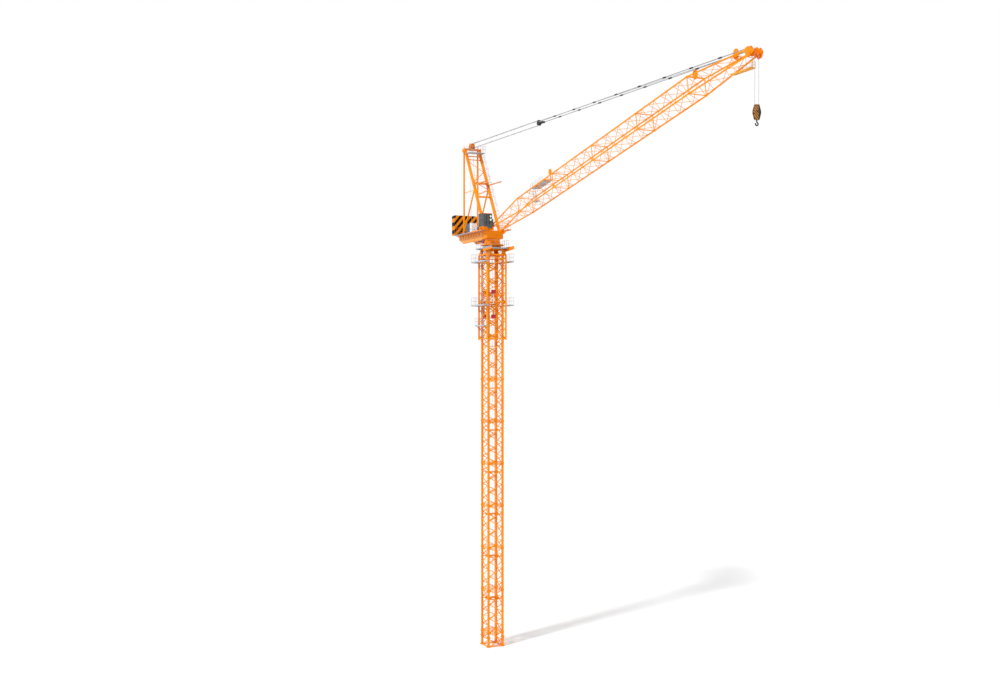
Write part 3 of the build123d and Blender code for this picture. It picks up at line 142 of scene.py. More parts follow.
def striped(name, place_axes, pitch, share, first, last):
    """Slanting stripes of two paints, worked out from two of the object's own coordinates."""
    roughness = 0.45
    material, tree, shader, place = new_material(name)
    split = tree.nodes.new("ShaderNodeSeparateXYZ")
    tree.links.new(place, split.inputs["Vector"])
    total = None
    for axis, factor in place_axes:
        scaled = tree.nodes.new("ShaderNodeMath")
        scaled.operation = "MULTIPLY"
        scaled.inputs[1].default_value = factor / pitch
        tree.links.new(split.outputs[axis], scaled.inputs[0])
        if total is None:
            total = scaled.outputs[0]
        else:
            add = tree.nodes.new("ShaderNodeMath")
            add.operation = "ADD"
            tree.links.new(total, add.inputs[0])
            tree.links.new(scaled.outputs[0], add.inputs[1])
            total = add.outputs[0]
    wrap = tree.nodes.new("ShaderNodeMath")
    wrap.operation = "FRACT"
    tree.links.new(total, wrap.inputs[0])
    edge = tree.nodes.new("ShaderNodeMath")
    edge.operation = "LESS_THAN"
    edge.inputs[1].default_value = share
    tree.links.new(wrap.outputs[0], edge.inputs[0])
    shader.inputs["Specular IOR Level"].default_value = 0.1
    worn = mix(tree, noise(tree, place, 25.0, 6.0), first, tuple(0.8 * c for c in first))
    tree.links.new(mix(tree, edge.outputs[0], worn, last), shader.inputs["Base Color"])
    tree.links.new(span(tree, noise(tree, place, 60.0), roughness - 0.1, roughness + 0.1),
                   shader.inputs["Roughness"])
    bump(tree, shader, noise(tree, place, 200.0, 2.0), 0.1, 0.001)
    return material


def grating(name, colour, gap):
    """Steel grating: fine bars over dark gaps, cut by two bands of waves."""
    material, tree, shader, place = new_material(name)
    bands = []
    for direction in ("X", "Y"):
        wave = tree.nodes.new("ShaderNodeTexWave")
        wave.bands_direction = direction
        wave.inputs["Scale"].default_value = 34.0
        tree.links.new(place, wave.inputs["Vector"])
        bands.append(wave.outputs["Fac"])
    both = tree.nodes.new("ShaderNodeMath")
    both.operation = "MAXIMUM"
    tree.links.new(bands[0], both.inputs[0])
    tree.links.new(bands[1], both.inputs[1])
    bars = ramp(tree, both.outputs[0], 0.45, 0.8, gap, colour)
    tree.links.new(mix(tree, noise(tree, place, 14.0, 6.0), bars, colour), shader.inputs["Base Color"])
    shader.inputs["Roughness"].default_value = 0.55
    shader.inputs["Metallic"].default_value = 0.25
    bump(tree, shader, both.outputs[0], 0.5, 0.002)
    return material


def rope_look(name, colour):
    """Wire rope: slanting strands from a wave, with a greasy sheen."""
    material, tree, shader, place = new_material(name)
    wave = tree.nodes.new("ShaderNodeTexWave")
    wave.bands_direction = "DIAGONAL"
    wave.inputs["Scale"].default_value = 150.0
    tree.links.new(place, wave.inputs["Vector"])
    dark = tuple(0.45 * c for c in colour)
    tree.links.new(ramp(tree, wave.outputs["Fac"], 0.2, 0.9, dark, colour), shader.inputs["Base Color"])
    shader.inputs["Metallic"].default_value = 0.6
    shader.inputs["Roughness"].default_value = 0.45
    bump(tree, shader, wave.outputs["Fac"], 0.6, 0.001)
    return material


def glazing(name, colour, see_through):
    """Tinted glass with a faint unevenness."""
    material, tree, shader, place = new_material(name)
    tree.links.new(ramp(tree, noise(tree, place, 6.0), 0.3, 0.7, colour, tuple(1.25 * c for c in colour)),
                   shader.inputs["Base Color"])
    shader.inputs["Transmission Weight"].default_value = see_through
    shader.inputs["Roughness"].default_value = 0.06
    shader.inputs["IOR"].default_value = 1.15
    bump(tree, shader, noise(tree, place, 9.0, 1.0), 0.03, 0.001)
    return material


ORANGE = painted("orange_paint", (0.84, 0.22, 0.001), (0.93, 0.29, 0.002), (0.7, 0.18, 0.005), gloss=0.1)
DEEP = painted("deep_orange_paint", (0.86, 0.17, 0.001), (0.94, 0.22, 0.002), (0.66, 0.13, 0.003), gloss=0.1)
# The lattice paint is a lighter, yellower copy of the orange paint: a painted highlight for the thin bars
LIT_LACE = painted("lit_lattice_paint", (0.84, 0.26, 0.001), (0.92, 0.33, 0.001), (0.76, 0.22, 0.001), gloss=0.06)
RAILING = painted("railing_steel", (0.36, 0.36, 0.38), (0.46, 0.46, 0.48), (0.3, 0.29, 0.28), 0.5, 0.1)
TAN = painted("sun_bleached_paint", (0.82, 0.3, 0.06), (0.9, 0.38, 0.1), (0.6, 0.25, 0.1), 0.55)
OCHRE = painted("worn_paint", (0.6, 0.22, 0.02), (0.75, 0.3, 0.03), (0.3, 0.14, 0.05), 0.55)
GREY = painted("grey_steel", (0.3, 0.32, 0.35), (0.4, 0.42, 0.46), (0.22, 0.22, 0.22), 0.5, 0.2)
PALE = painted("galvanised_steel", (0.56, 0.57, 0.58), (0.72, 0.73, 0.74), (0.4, 0.4, 0.4), 0.45, 0.25)
DARK = painted("dark_steel", (0.018, 0.02, 0.026), (0.035, 0.037, 0.045), (0.08, 0.075, 0.07), 0.45, 0.3)
RED = painted("red_paint", (0.36, 0.008, 0.02), (0.5, 0.015, 0.035), (0.22, 0.02, 0.02), 0.35)
WHITE = painted("white_paint", (0.78, 0.8, 0.82), (0.88, 0.9, 0.92), (0.66, 0.66, 0.64), 0.4)
SLATE = painted("slate_paint", (0.09, 0.1, 0.125), (0.15, 0.16, 0.2), (0.06, 0.06, 0.07), 0.5)
# A lighter copy of the grey of the platform edges: a painted highlight for their near, lit side
LIT_EDGE_GREY = painted("edge_plates", (0.38, 0.41, 0.45), (0.48, 0.51, 0.55), (0.28, 0.28, 0.28), 0.5)
# Pale green-white lamp glass: a painted reflection
LAMP_GLINT = painted("lamp_glass_painted_reflection", (0.6, 0.8, 0.7), (0.7, 0.88, 0.78), (0.5, 0.6, 0.55), 0.2)
BROWN = painted("brown_deck", (0.16, 0.08, 0.04), (0.26, 0.13, 0.07), (0.1, 0.07, 0.05), 0.6)
GRATE = grating("steel_grating", (0.4, 0.42, 0.46), (0.1, 0.105, 0.115))
STEEL = painted("pendant_steel", (0.3, 0.3, 0.32), (0.42, 0.42, 0.44), (0.2, 0.19, 0.18), 0.4, 0.4)
CAB_GREY = painted("cab_panels", (0.075, 0.082, 0.085), (0.11, 0.118, 0.12), (0.16, 0.1, 0.06), 0.4, 0.1)
MAROON = painted("drive_paint", (0.25, 0.03, 0.01), (0.4, 0.07, 0.02), (0.1, 0.03, 0.02), 0.5)
ROPE = rope_look("wire_rope", (0.3, 0.3, 0.32))
FALL_ROPE = rope_look("fall_rope", (0.62, 0.62, 0.64))
YELLOW = painted("yellow_deck", (0.72, 0.33, 0.03), (0.82, 0.4, 0.05), (0.5, 0.24, 0.05), 0.55)
GLASS = glazing("tinted_glass", (0.16, 0.165, 0.17), 0.55)
RUBBER = painted("black_rubber", (0.012, 0.012, 0.013), (0.025, 0.025, 0.027), (0.06, 0.06, 0.06), 0.7)
BALLAST = striped("ballast_paint", (("Y", 1.0), ("Z", -0.85)), 0.098, 0.5, (0.9, 0.26, 0.003),
                  (0.003, 0.004, 0.008))
BLOCK = striped("block_paint", (("Y", 1.0), ("Z", 1.0)), 0.03, 0.35, (0.5, 0.22, 0.05), (0.01, 0.01, 0.012))

# Looks of the CAD nodes; those that aren't named here are orange
node_looks = {
    "cage_platforms": GRATE, "machinery_deck": GRATE, "head_platform": GRATE, "jib_platforms": YELLOW,
    "cage_guides": OCHRE, "climbing_jacks": RED, "slewing_drives": MAROON, "counter_jib": TAN,
    "counterweight": BALLAST, "cabinet": WHITE, "cab": CAB_GREY, "cab_windows": GLASS, "hoist_winch": GREY,
    "luffing_winch": GREY, "winch_ropes": FALL_ROPE, "backstops": OCHRE, "head_sheaves": DEEP,
    "sheave_guard": DEEP, "pendant_bars": STEEL, "equalizer": DARK, "tackle_sheaves": DARK,
    "hoist_rope": ROPE, "hook_falls": FALL_ROPE, "hook_block": BLOCK, "block_sheave": DARK, "hook": RUBBER,
}
# Lattice nodes take the lighter, yellower copy of the orange paint, a painted highlight
for lattice in ("mast_front", "mast_back", "mast_left", "mast_right", "cage_front", "cage_back", "cage_left",
                "cage_right", "jib_foot", "jib_section_1", "jib_section_2", "jib_section_3", "jib_section_4",
                "jib_head", "a_frame_ties", "cage_posts"):
    node_looks[lattice] = LIT_LACE
for node_name, node in nodes.items():
    if node.type == "MESH":
        look = node_looks.get(node_name, ORANGE)
        if node.material_slots:
            for held in node.material_slots:
                held.material = look
        else:
            node.data.materials.append(look)


class Shape:
    """Gathers bars, tubes and plates, in millimetres, into one mesh."""

    def __init__(self):
        self.points = []
        self.faces = []

    def loop_strip(self, loops, closed_ends=True):
        """Joins rings of points with the same count into a skin."""
        start = len(self.points)
        count = len(loops[0])
        for loop in loops:
            self.points.extend(loop)
        for i in range(len(loops) - 1):
            low = start + i * count
            high = low + count
            for j in range(count):
                k = (j + 1) % count
                self.faces.append((low + j, low + k, high + k, high + j))
        if closed_ends:
            self.faces.append(tuple(start + j for j in reversed(range(count))))
            last = start + (len(loops) - 1) * count
            self.faces.append(tuple(last + j for j in range(count)))

    def bar(self, start, end, wide, deep=None, level=None):
        """A straight bar of four sides, its width level unless a direction is given."""
        start, end = Vector(start), Vector(end)
        deep = wide if deep is None else deep
        run = (end - start).normalized()
        side = Vector(level) if level else run.cross(Vector((0, 0, 1)))
        if side.length < 1e-5:
            side = Vector((1, 0, 0))
        side = (side - run * side.dot(run)).normalized()
        up = side.cross(run)
        corners = [(wide / 2, deep / 2), (-wide / 2, deep / 2), (-wide / 2, -deep / 2), (wide / 2, -deep / 2)]
        self.loop_strip([[p + side * a + up * b for a, b in corners] for p in (start, end)])

    def tube(self, points, radius, sides=8, closed=False):
        """A round bar along points."""
        points = [Vector(p) for p in points]
        loops = []
        side = None
        for i, point in enumerate(points):
            before = points[i - 1] if i or closed else point
            after = points[(i + 1) % len(points)] if i + 1 < len(points) or closed else point
            run = (after - before).normalized()
            if side is None:
                side = run.orthogonal().normalized()
            side = (side - run * side.dot(run)).normalized()
            up = run.cross(side)
            loops.append([point + (side * cos(2 * pi * j / sides) + up * sin(2 * pi * j / sides)) * radius
                          for j in range(sides)])
        if closed:
            loops.append(loops[0])
        self.loop_strip(loops, not closed)

    def lathe(self, centre, axis, profile, sides=24):
        """A turned piece: (distance along the axis, radius) pairs from one end to the other."""
        axis = Vector(axis).normalized()
        side = axis.orthogonal().normalized()
        up = axis.cross(side)
        self.loop_strip([[Vector(centre) + axis * along
                          + (side * cos(2 * pi * j / sides) + up * sin(2 * pi * j / sides)) * radius
                          for j in range(sides)] for along, radius in profile])

    def plate(self, outline, thick):
        """A flat plate from its outline, as thick as a vector says."""
        thick = Vector(thick)
        low = [Vector(p) for p in outline]
        self.loop_strip([low, [p + thick for p in low]])

    def box(self, low, high):
        """An upright block between two corners."""
        (x0, y0, z0), (x1, y1, z1) = low, high
        self.plate([(x0, y0, z0), (x1, y0, z0), (x1, y1, z0), (x0, y1, z0)], (0, 0, z1 - z0))

    def bolt(self, centre, axis, radius, tall):
        """A six-sided bolt head with a turned crown."""
        self.lathe(centre, axis, [(0, radius), (0.8 * tall, radius), (tall, 0.75 * radius)], 6)

    def make(self, name, material, body, round_off=0.0, smooth=False):
        """Turns what was gathered into a piece that rides on a body."""
        mesh = bpy.data.meshes.new(name)
        mesh.from_pydata([tuple(0.001 * c for c in p) for p in self.points], [], self.faces)
        mesh.validate()
        mesh.update()
        if smooth:
            mesh.shade_smooth()
        mesh.materials.append(material)
        piece = bpy.data.objects.new(name, mesh)
        bpy.context.scene.collection.objects.link(piece)
        if smooth:
            split = piece.modifiers.new("edges", "EDGE_SPLIT")
            split.split_angle = radians(40)
        if round_off:
            bevel = piece.modifiers.new("edges", "BEVEL")
            bevel.width = 0.001 * round_off
            bevel.segments = 1
            bevel.limit_method = "ANGLE"
        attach(piece, body)
        return piece


POST_PITCH = 76.0
JIB_POST_PITCH = 88.0
JIB_RAIL_BAR = 2.2
RAIL_SHARES = (0.52, 1.0)  # how high the two rails are, of the posts


def rail(shape, points, tall=110.0, bar=2.0):
    """A guard rail along level points: posts, a middle rail and a top rail."""
    points = [Vector(p) for p in points]
    for start, end in zip(points, points[1:]):
        run = end - start
        steps = max(1, ceil(run.length / POST_PITCH))
        for i in range(steps + 1):
            foot = start + run * i / steps
            shape.bar(foot, foot + Vector((0, 0, tall)), bar, bar, run)
        for share in RAIL_SHARES:
            lift = Vector((0, 0, tall * share - bar / 2))
            shape.bar(start + lift, end + lift, bar)


def ladder(shape, foot, top, across, wide=36.0, pitch=30.0, bar=4.0):
    """Two stringers with rungs."""
    foot, top, across = Vector(foot), Vector(top), Vector(across).normalized()
    run = top - foot
    for side in (-0.5, 0.5):
        shape.bar(foot + across * wide * side, top + across * wide * side, bar, bar * 1.4, across)
    count = int(run.length / pitch)
    for i in range(count):
        middle = foot + run * (i + 0.5) / count
        shape.tube([middle - across * wide / 2, middle + across * wide / 2], bar * 0.36, 6)


def arc(centre, first, last, radius, start, end, steps=14):
    """Points on an arc from one angle to another, between two directions."""
    centre, first, last = Vector(centre), Vector(first).normalized(), Vector(last).normalized()
    return [centre + (first * cos(a) + last * sin(a)) * radius
            for a in (start + (end - start) * i / steps for i in range(steps + 1))]


# Measures repeated from the part's source
LEG = 109.5
LEG_HALF = 13.5
FIRST_JOINT = 200
SECTION = 600
MAST_PANEL = 200
JOINTS = [FIRST_JOINT + SECTION * i for i in range(9)]
PLATFORM_ZS = (4850, 5470)
JACK_X = 162
JACK_Y = -58
DECK_LOW = 5915.0
DECK = 5920
LEG_FOOT_X = -4.0
LEG_LEAN = 0.5665
TIE_X = -766
CROSS_ZS = (6435, 6640, 7020)
MID_DECK = 6648
MID_DECK_TOP = 6650
HEAD_DECK_TOP = 7117
TIP_DECK_TOP = 6977
WINCH_XS = (-640, -460)
WINCH_Z = 5984
HOIST_Y = -26
LUFF_YS = (-13, 0, 13)
FRAME_Y = 110  # legs, ties and jib chords from the middle
PIVOT = Vector((100.0, 0.0, 5930.0))
LUFF = radians(11.2)
ALONG = Vector((cos(LUFF), 0, sin(LUFF)))
UP = Vector((-sin(LUFF), 0, cos(LUFF)))
AXLE = Vector((-715.0, 0.0, 7238.0))
PITCH_R = 32.8
ROPE_R = 1.5
JIB_JOINTS = (1000, 2022.5, 3045, 4067.5, 5090)
CHORD_UPS = (135, -50)
HEAD_ALONG = 6068
HEAD_UP = -25
FALL_Y = 24
COUPLERS = 8
COUPLER_FIRST = 461
COUPLER_STEP = 508
PENDANT_Y = 37.5
HOOK_R = 15
HOOK_BOWL_Z = 6395.02
HOOK_TURN = pi * 205 / 180

# Measures of the trim alone
SPLICE_HALF = 3.4
BOLT_SINK = 2.2
REST_HALF = 95
REST_GAP = 28
REST_DROP = 131
HOOP_R = 30
SOCKET_TURN = 1.9


def jib(x, y, z):
    """A point along, across and up from the foot pins."""
    return PIVOT + ALONG * x + Vector((0, y, 0)) + UP * z


PENDANT_PIN = jib(6033, 0, 39)
LINE = (PENDANT_PIN - AXLE).normalized()
LINE_UP = Vector((-LINE.z, 0, LINE.x))
EQUALIZER = PENDANT_PIN - LINE * 4534.0
SHEAVE = jib(HEAD_ALONG, 0, HEAD_UP)
FALL_X = SHEAVE.x + PITCH_R
BLOCK_AXLE = Vector((FALL_X, 0, 6516.0))


def leg_x(z):
    """Where the middle of a front leg of the A-frame is at a height."""
    return LEG_FOOT_X - LEG_LEAN * (z - DECK_LOW)


# Mast: panel bars, splice bars, inner ladder, rest platforms, joint bolts, foot gussets and stub collars
panels = Shape()
for z in range(FIRST_JOINT, 5500, MAST_PANEL):
    if (z - FIRST_JOINT) % SECTION:
        for side in (-1, 1):
            panels.bar((-LEG + LEG_HALF, side * LEG, z), (LEG - LEG_HALF, side * LEG, z), 3.6)
            panels.bar((side * LEG, -LEG + LEG_HALF, z), (side * LEG, LEG - LEG_HALF, z), 3.6)
panels.make("mast_panel_bars", LIT_LACE, "tower")

splices = Shape()
for z in JOINTS:
    half = 2.6 if z > JOINTS[0] else 3.6
    for side in (-1, 1):
        near, far = side * LEG - SPLICE_HALF, side * LEG + SPLICE_HALF
        splices.box((-LEG + LEG_HALF, near, z - half), (LEG - LEG_HALF, far, z + half))
        splices.box((near, -LEG + LEG_HALF, z - half), (far, LEG - LEG_HALF, z + half))
splices.make("mast_splice_bars", ORANGE, "tower")

inner = Shape()
ladder(inner, (34, 0, 14), (34, 0, 5640), (0, 1, 0), 36, 30, 2.6)
for z in JOINTS[1:]:
    for x in (-96, 60):
        inner.bar((x, -96, z - 134), (x, 96, z - 134), 5)
    inner.bar((34, -96, z - 16), (34, 96, z - 16), 4)
inner.make("mast_ladder", LIT_LACE, "tower")

rests = Shape()
for z in JOINTS[1:]:
    low = z - REST_DROP
    for way in (-REST_HALF, REST_HALF):
        gap = REST_GAP if way > 0 else -REST_GAP
        rests.bar((way, -REST_HALF, low), (way, REST_HALF, low), 3, 8)
        rests.bar((-REST_HALF, way, low), (REST_HALF, way, low), 3, 8)
        rests.bar((-REST_HALF, gap, low), (REST_HALF, gap, low), 3, 6)
    for x in range(-84, REST_HALF, 12):
        rests.bar((x, -REST_HALF, low + 2), (x, -REST_GAP if x > 0 else REST_HALF, low + 2), 1.4, 3)
        if x > 0:
            rests.bar((x, REST_GAP, low + 2), (x, REST_HALF, low + 2), 1.4, 3)
rests.make("mast_rest_platforms", LIT_LACE, "tower")

bolts = Shape()
for z in JOINTS:
    for sx in (-1, 1):
        for sy in (-1, 1):
            for dx, dy in ((18.4, 0), (0, 18.4)):
                for shift in (-8, 8):
                    x = sx * (LEG + dx) + (shift if not dx else 0) - sx * BOLT_SINK * bool(dx)
                    y = sy * (LEG + dy) + (shift if not dy else 0) - sy * BOLT_SINK * bool(dy)
                    bolts.bar((x, y, z - 13), (x, y, z + 13), 4.2)
bolts.make("mast_joint_bolts", ORANGE, "tower")

feet = Shape()
for sx in (-1, 1):
    for sy in (-1, 1):
        x, y = sx * LEG, sy * LEG
        for dx, dy in ((1, 0), (-1, 0), (0, 1), (0, -1)):
            root = Vector((x + dx * LEG_HALF, y + dy * LEG_HALF, 10))
            out = Vector((dx, dy, 0))
            level = Vector((-dy, dx, 0)) * 1.6
            feet.plate([root - level, root + out * 8.5 - level, root + out * 8.5 + Vector((0, 0, 4)) - level,
                        root + Vector((0, 0, 26)) - level], level * 2)
        feet.box((x - 22, y - 22, 126), (x + 22, y + 22, 131.5))
        feet.box((x - 22, y - 22, 136.5), (x + 22, y + 22, 142))
        for dx, dy in ((17, 17), (-17, 17), (17, -17), (-17, -17)):
            feet.bolt((x + dx, y + dy, 142), (0, 0, 1), 3, 3)
            feet.bolt((x + dx, y + dy, 126), (0, 0, -1), 3, 3)
feet.make("foot_gussets", ORANGE, "tower")

# Cage: rails of the platforms, and the brackets under them
rails = Shape()
rail(rails, [(-175, -175, 5665), (175, -175, 5665), (175, 175, 5665), (-175, 175, 5665), (-175, -175, 5665)])
for z in PLATFORM_ZS:
    top = z + 5
    rail(rails, [(229, -157, top), (229, -229, top), (-229, -229, top), (-229, 229, top), (229, 229, top),
                 (229, 157, top)])
rail(rails, [(-153, -157, 4565), (-153, -203, 4565), (153, -203, 4565), (153, -157, 4565)])
rails.make("cage_rails", RAILING, "tower")

braces = Shape()
for z in PLATFORM_ZS:
    for sx in (-1, 1):
        for sy in (-1, 1):
            braces.bar((sx * 140, sy * 156, z - 3), (sx * 140, sy * 229, z - 3), 5)
        braces.bar((-156, sx * 130, z - 3), (-229, sx * 130, z - 3), 5)
for x in (-120, 0, 120):
    braces.bar((x, -150, 4520), (x, -203, 4558), 5)
for sx in (-1, 1):
    for sy in (-1, 1):
        braces.bar((sx * 172, sy * 60, 5657), (sx * 128, sy * 60, 5600), 6)
        braces.bar((sx * 60, sy * 172, 5657), (sx * 60, sy * 128, 5600), 6)
braces.make("cage_brackets", ORANGE, "tower")

# Edge plates of the platforms
edging = Shape()


def edge_plates(shape, points, low, high):
    """Upright strips along points, from one height to another."""
    for start, end in zip(points, points[1:]):
        start, end = Vector(start), Vector(end)
        middle = Vector((0, 0, (low + high) / 2))
        shape.bar(start + middle, end + middle, 2, high - low)


for z in PLATFORM_ZS:
    edge_plates(edging, [(229.8, -155, 0), (229.8, -229.8, 0), (-229.8, -229.8, 0), (-229.8, 229.8, 0),
                         (229.8, 229.8, 0), (229.8, 155, 0)], z - 9, z + 8)
edge_plates(edging, [(175.8, -175.8, 0), (-175.8, -175.8, 0), (-175.8, 175.8, 0), (175.8, 175.8, 0),
                     (175.8, -175.8, 0)], 5651, 5670)
edge_plates(edging, [(-153.8, -157, 0), (-153.8, -203.8, 0), (153.8, -203.8, 0), (153.8, -157, 0)],
            4552, 4569)
edging.make("platform_edges", GREY, "tower")
# The near edges again, just outside the others, in the lighter grey: a painted highlight on the lit side
lit_near_edges = Shape()
for z in PLATFORM_ZS:
    lit_near_edges.bar((-230.9, -230.9, z + 1), (230.9, -230.9, z + 1), 1.6, 19)
lit_near_edges.bar((-154.8, -204.9, 4561), (154.8, -204.9, 4561), 1.6, 17)
lit_near_edges.make("lit_near_platform_edges", LIT_EDGE_GREY, "tower")

# Cage ladder, and the jacks: bolts, collars and hoses, barrels, rods
cage_ladder = Shape()
ladder(cage_ladder, (-60, -128, 4380), (-60, -128, 5540), (1, 0, 0), 36)
cage_ladder.make("cage_ladder", RAILING, "tower")

jacks = Shape()
for side in (-1, 1):
    x = side * JACK_X
    for z in (4690, 5040):
        for shift in (-22, 22):
            for lift in (-18, 18):
                jacks.bolt((x + side * 13, JACK_Y + shift, z + lift), (side, 0, 0), 3, 3)
    jacks.lathe((x, JACK_Y, 4856), (0, 0, 1), [(0, 9.8), (0.5, 11), (8, 11), (9, 9.6)], 20)
    hose = [(9, 4722), (12, 4750), (12, 4850)]
    jacks.tube([(x + side * out, JACK_Y, z) for out, z in hose], 1.6, 6)
jacks.make("jack_fittings", DARK, "tower")
sleeves = Shape()
rods = Shape()
for x in (-JACK_X, JACK_X):
    sleeves.lathe((x, JACK_Y, 4716.2), (0, 0, 1), [(0, 9.2), (1, 9.6), (138, 9.6), (139, 9.2)], 20)
    rods.lathe((x, JACK_Y, 4865.2), (0, 0, 1), [(0, 5.2), (1, 5.5), (147, 5.5), (148.6, 5.2)], 16)
sleeves.make("jack_barrels", ORANGE, "tower", smooth=True)
rods.make("jack_rods", PALE, "tower", smooth=True)

# Teeth and bolts of the slewing ring
ring_teeth = Shape()
for i in range(90):
    turn = 2 * pi * i / 90
    out = Vector((cos(turn), sin(turn), 0))
    ring_teeth.bar(out * 118 + Vector((0, 0, 5668)), out * 118 + Vector((0, 0, 5692)), 4.2, 5,
                   (-out.y, out.x, 0))
for i in range(36):
    turn = 2 * pi * i / 36
    ring_teeth.bolt((108 * cos(turn), 108 * sin(turn), 5665), (0, 0, 1), 3, 0.4)
ring_teeth.make("ring_teeth", ORANGE, "tower")

# Paint over the arms of the top platform
arms = Shape()
arms.plate([(59.4, 164.4, 5678.6), (350.6, 164.4, 5678.6), (350.6, 164.4, 5635.4), (59.4, 164.4, 5617.4)],
           (0, 13.2, 0))
arms.plate([(59.4, -177.6, 5650), (350.6, -177.6, 5656), (350.6, -177.6, 5635.4), (59.4, -177.6, 5617.4)],
           (0, 13.2, 0))
arms.make("platform_arms", ORANGE, "tower")

# Upperworks: deck rails, thinner on the side of the cabinets
deck_rails = Shape()
rail(deck_rails, [(-941, -188, DECK), (-566, -188, DECK)], bar=1.6)
rail(deck_rails, [(-338, -188, DECK), (164, -188, DECK), (164, -138, DECK)], bar=1.6)
rail(deck_rails, [(-941, 188, DECK), (218, 188, DECK), (218, 133, DECK), (60, 133, DECK)])
rail(deck_rails, [(-941, -188, DECK), (-941, 188, DECK)])
rail(deck_rails, [(150, -133, DECK), (-32, -133, DECK)])
deck_rails.make("deck_rails", ORANGE, "upperworks")

stiffeners = Shape()
for side in (-1, 1):
    y = side * FRAME_Y
    for x in range(-880, -130, 94):
        stiffeners.plate([(x - 2, y, 5916), (x + 2, y, 5916), (x + 2, y, 5862), (x - 2, y, 5862)],
                         (0, side * 7, 0))
    stiffeners.bar((-950, y + side * 4, 5912), (-118, y + side * 4, 5912), 10, 5)
    stiffeners.bar((-793, y + side * 4, 5793), (-118, y + side * 4, 5793), 10, 5)
    for x in range(-900, 140, 110):
        stiffeners.bar((x, side * 114, 5898), (x, side * 187, 5912), 5)
stiffeners.box((-402, -195.2, 5913.4), (62, -193.8, 5926.6))
stiffeners.make("girder_stiffeners", ORANGE, "upperworks")

# Orange skin and brown underside of the walkway beside the jib foot
wedge = Shape()
wedge.plate([(-30.6, 125.4, 5914.4), (220.8, 125.4, 5914.4), (220.8, 125.4, 5906.4), (92, 125.4, 5867.4),
             (-30.6, 125.4, 5867.4)], (0, 9.2, 0))
wedge.box((219.4, 130, 5913.4), (220.8, 194.6, 5927))
wedge.box((60, 193.6, 5913.4), (220.8, 194.7, 5927))
wedge.make("walkway_web", ORANGE, "upperworks")
under = Shape()
under.box((-30, 135, 5912.6), (219, 193, 5914.4))
under.make("walkway_underside", BROWN, "upperworks")

# Winches: rope turns on the drums, motors and brakes
turns = Shape()
for x in WINCH_XS:
    for i in range(29):
        y = -46.5 + i * 3.32
        turns.tube(arc((x, y, WINCH_Z), (1, 0, 0), (0, 0, 1), 36.8, 0, 2 * pi * 23 / 24, 23), 1.6, 6, True)
turns.make("drum_ropes", ROPE, "upperworks", smooth=True)

motors = Shape()
motor = [(0, 26), (10, 28), (12, 22), (46, 22), (48, 19), (52, 12)]
fin = [(0, 22), (0.3, 24.5), (1.2, 24.5), (1.5, 22)]
brake = [(0, 20), (5, 30), (9, 30), (11, 22), (20, 18), (22, 10)]
for x in WINCH_XS:
    motors.lathe((x, 64.5, WINCH_Z), (0, 1, 0), motor, 24)
    for i in range(10):
        motors.lathe((x, 78.5 + 3 * i, WINCH_Z), (0, 1, 0), fin, 24)
    motors.box((x - 24, 66, 5921), (x + 24, 108, 5964))
    motors.lathe((x, -66, WINCH_Z), (0, -1, 0), brake, 24)
    for i in range(8):
        turn = 2 * pi * i / 8
        motors.bolt((x + 25 * cos(turn), -75, WINCH_Z + 25 * sin(turn)), (0, -1, 0), 2.2, 2)
motors.make("winch_motors", GREY, "upperworks", 0.4, smooth=True)

# Cabinet: doors, vents and roof
doors = Shape()
doors.box((-408, -174.5, 5926), (-381.5, -172.9, 6010))
doors.box((-378.5, -174.5, 5926), (-352, -172.9, 6010))
doors.box((-413, -175, 6015.8), (-347, -81, 6019))
doors.box((-409, -172, 6019), (-351, -84, 6052))
doors.box((-413, -175, 6052), (-347, -81, 6056))
for i in range(7):
    doors.box((-404, -175.4, 5990 + 2.6 * i), (-386, -174.4, 5991.4 + 2.6 * i))
    doors.box((-374, -175.4, 5990 + 2.6 * i), (-356, -174.4, 5991.4 + 2.6 * i))
for y0, y1 in ((-168, -130), (-126, -88)):
    doors.box((-349.2, y0, 5926), (-347.6, y1, 6010))
doors.make("cabinet_doors", WHITE, "upperworks", 0.4)
handles = Shape()
handles.bar((-384, -176, 5960), (-384, -176, 5974), 1.8)
handles.bar((-376, -176, 5960), (-376, -176, 5974), 1.8)
for y in (-131.5, -124.5):
    handles.bar((-346.6, y, 5960), (-346.6, y, 5974), 1.8)
handles.make("cabinet_handles", DARK, "upperworks")

# Grey power box beside the cabinet, on feet, with louvres and a door
power = Shape()
power.box((-556, -170, 5928), (-430, -96, 6054))
power.box((-560, -173, 6054), (-426, -93, 6058))
for x in (-548, -446):
    power.box((x, -166, 5920.2), (x + 10, -100, 5928))
for i in range(8):
    power.box((-540, -171, 5986 + 5 * i), (-500, -169.6, 5988.4 + 5 * i))
power.box((-490, -171, 5932), (-440, -169.6, 6048))
power.make("power_box", SLATE, "upperworks", 0.6)

# Slewing gear under the counter-jib's root: motors over the drive gears, and cross shafts behind them
gear = Shape()
for side in (-1, 1):
    gear.lathe((-99, side * 96, 5739.6), (0, 0, 1), [(0, 12), (1, 16.6), (12, 16.6), (13, 16.3)], 24)
    gear.lathe((-140, side * 62, 5786), (0, 0, 1), [(0, 13), (2, 15), (30, 15)], 20)
    for i in range(8):
        turn = 2 * pi * i / 8
        gear.bolt((-99 + 14 * cos(turn), side * 96 + 14 * sin(turn), 5739.8), (0, 0, -1), 1.8, 1.6)
shaft = [(0, 8), (4, 12), (60, 12), (64, 9), (120, 9), (124, 11), (140, 11)]
for x in (-180, -235, -290, -345):
    gear.lathe((x, 70, 5795), (0, -1, 0), shaft, 16)
gear.make("slewing_gear", MAROON, "upperworks", smooth=True)

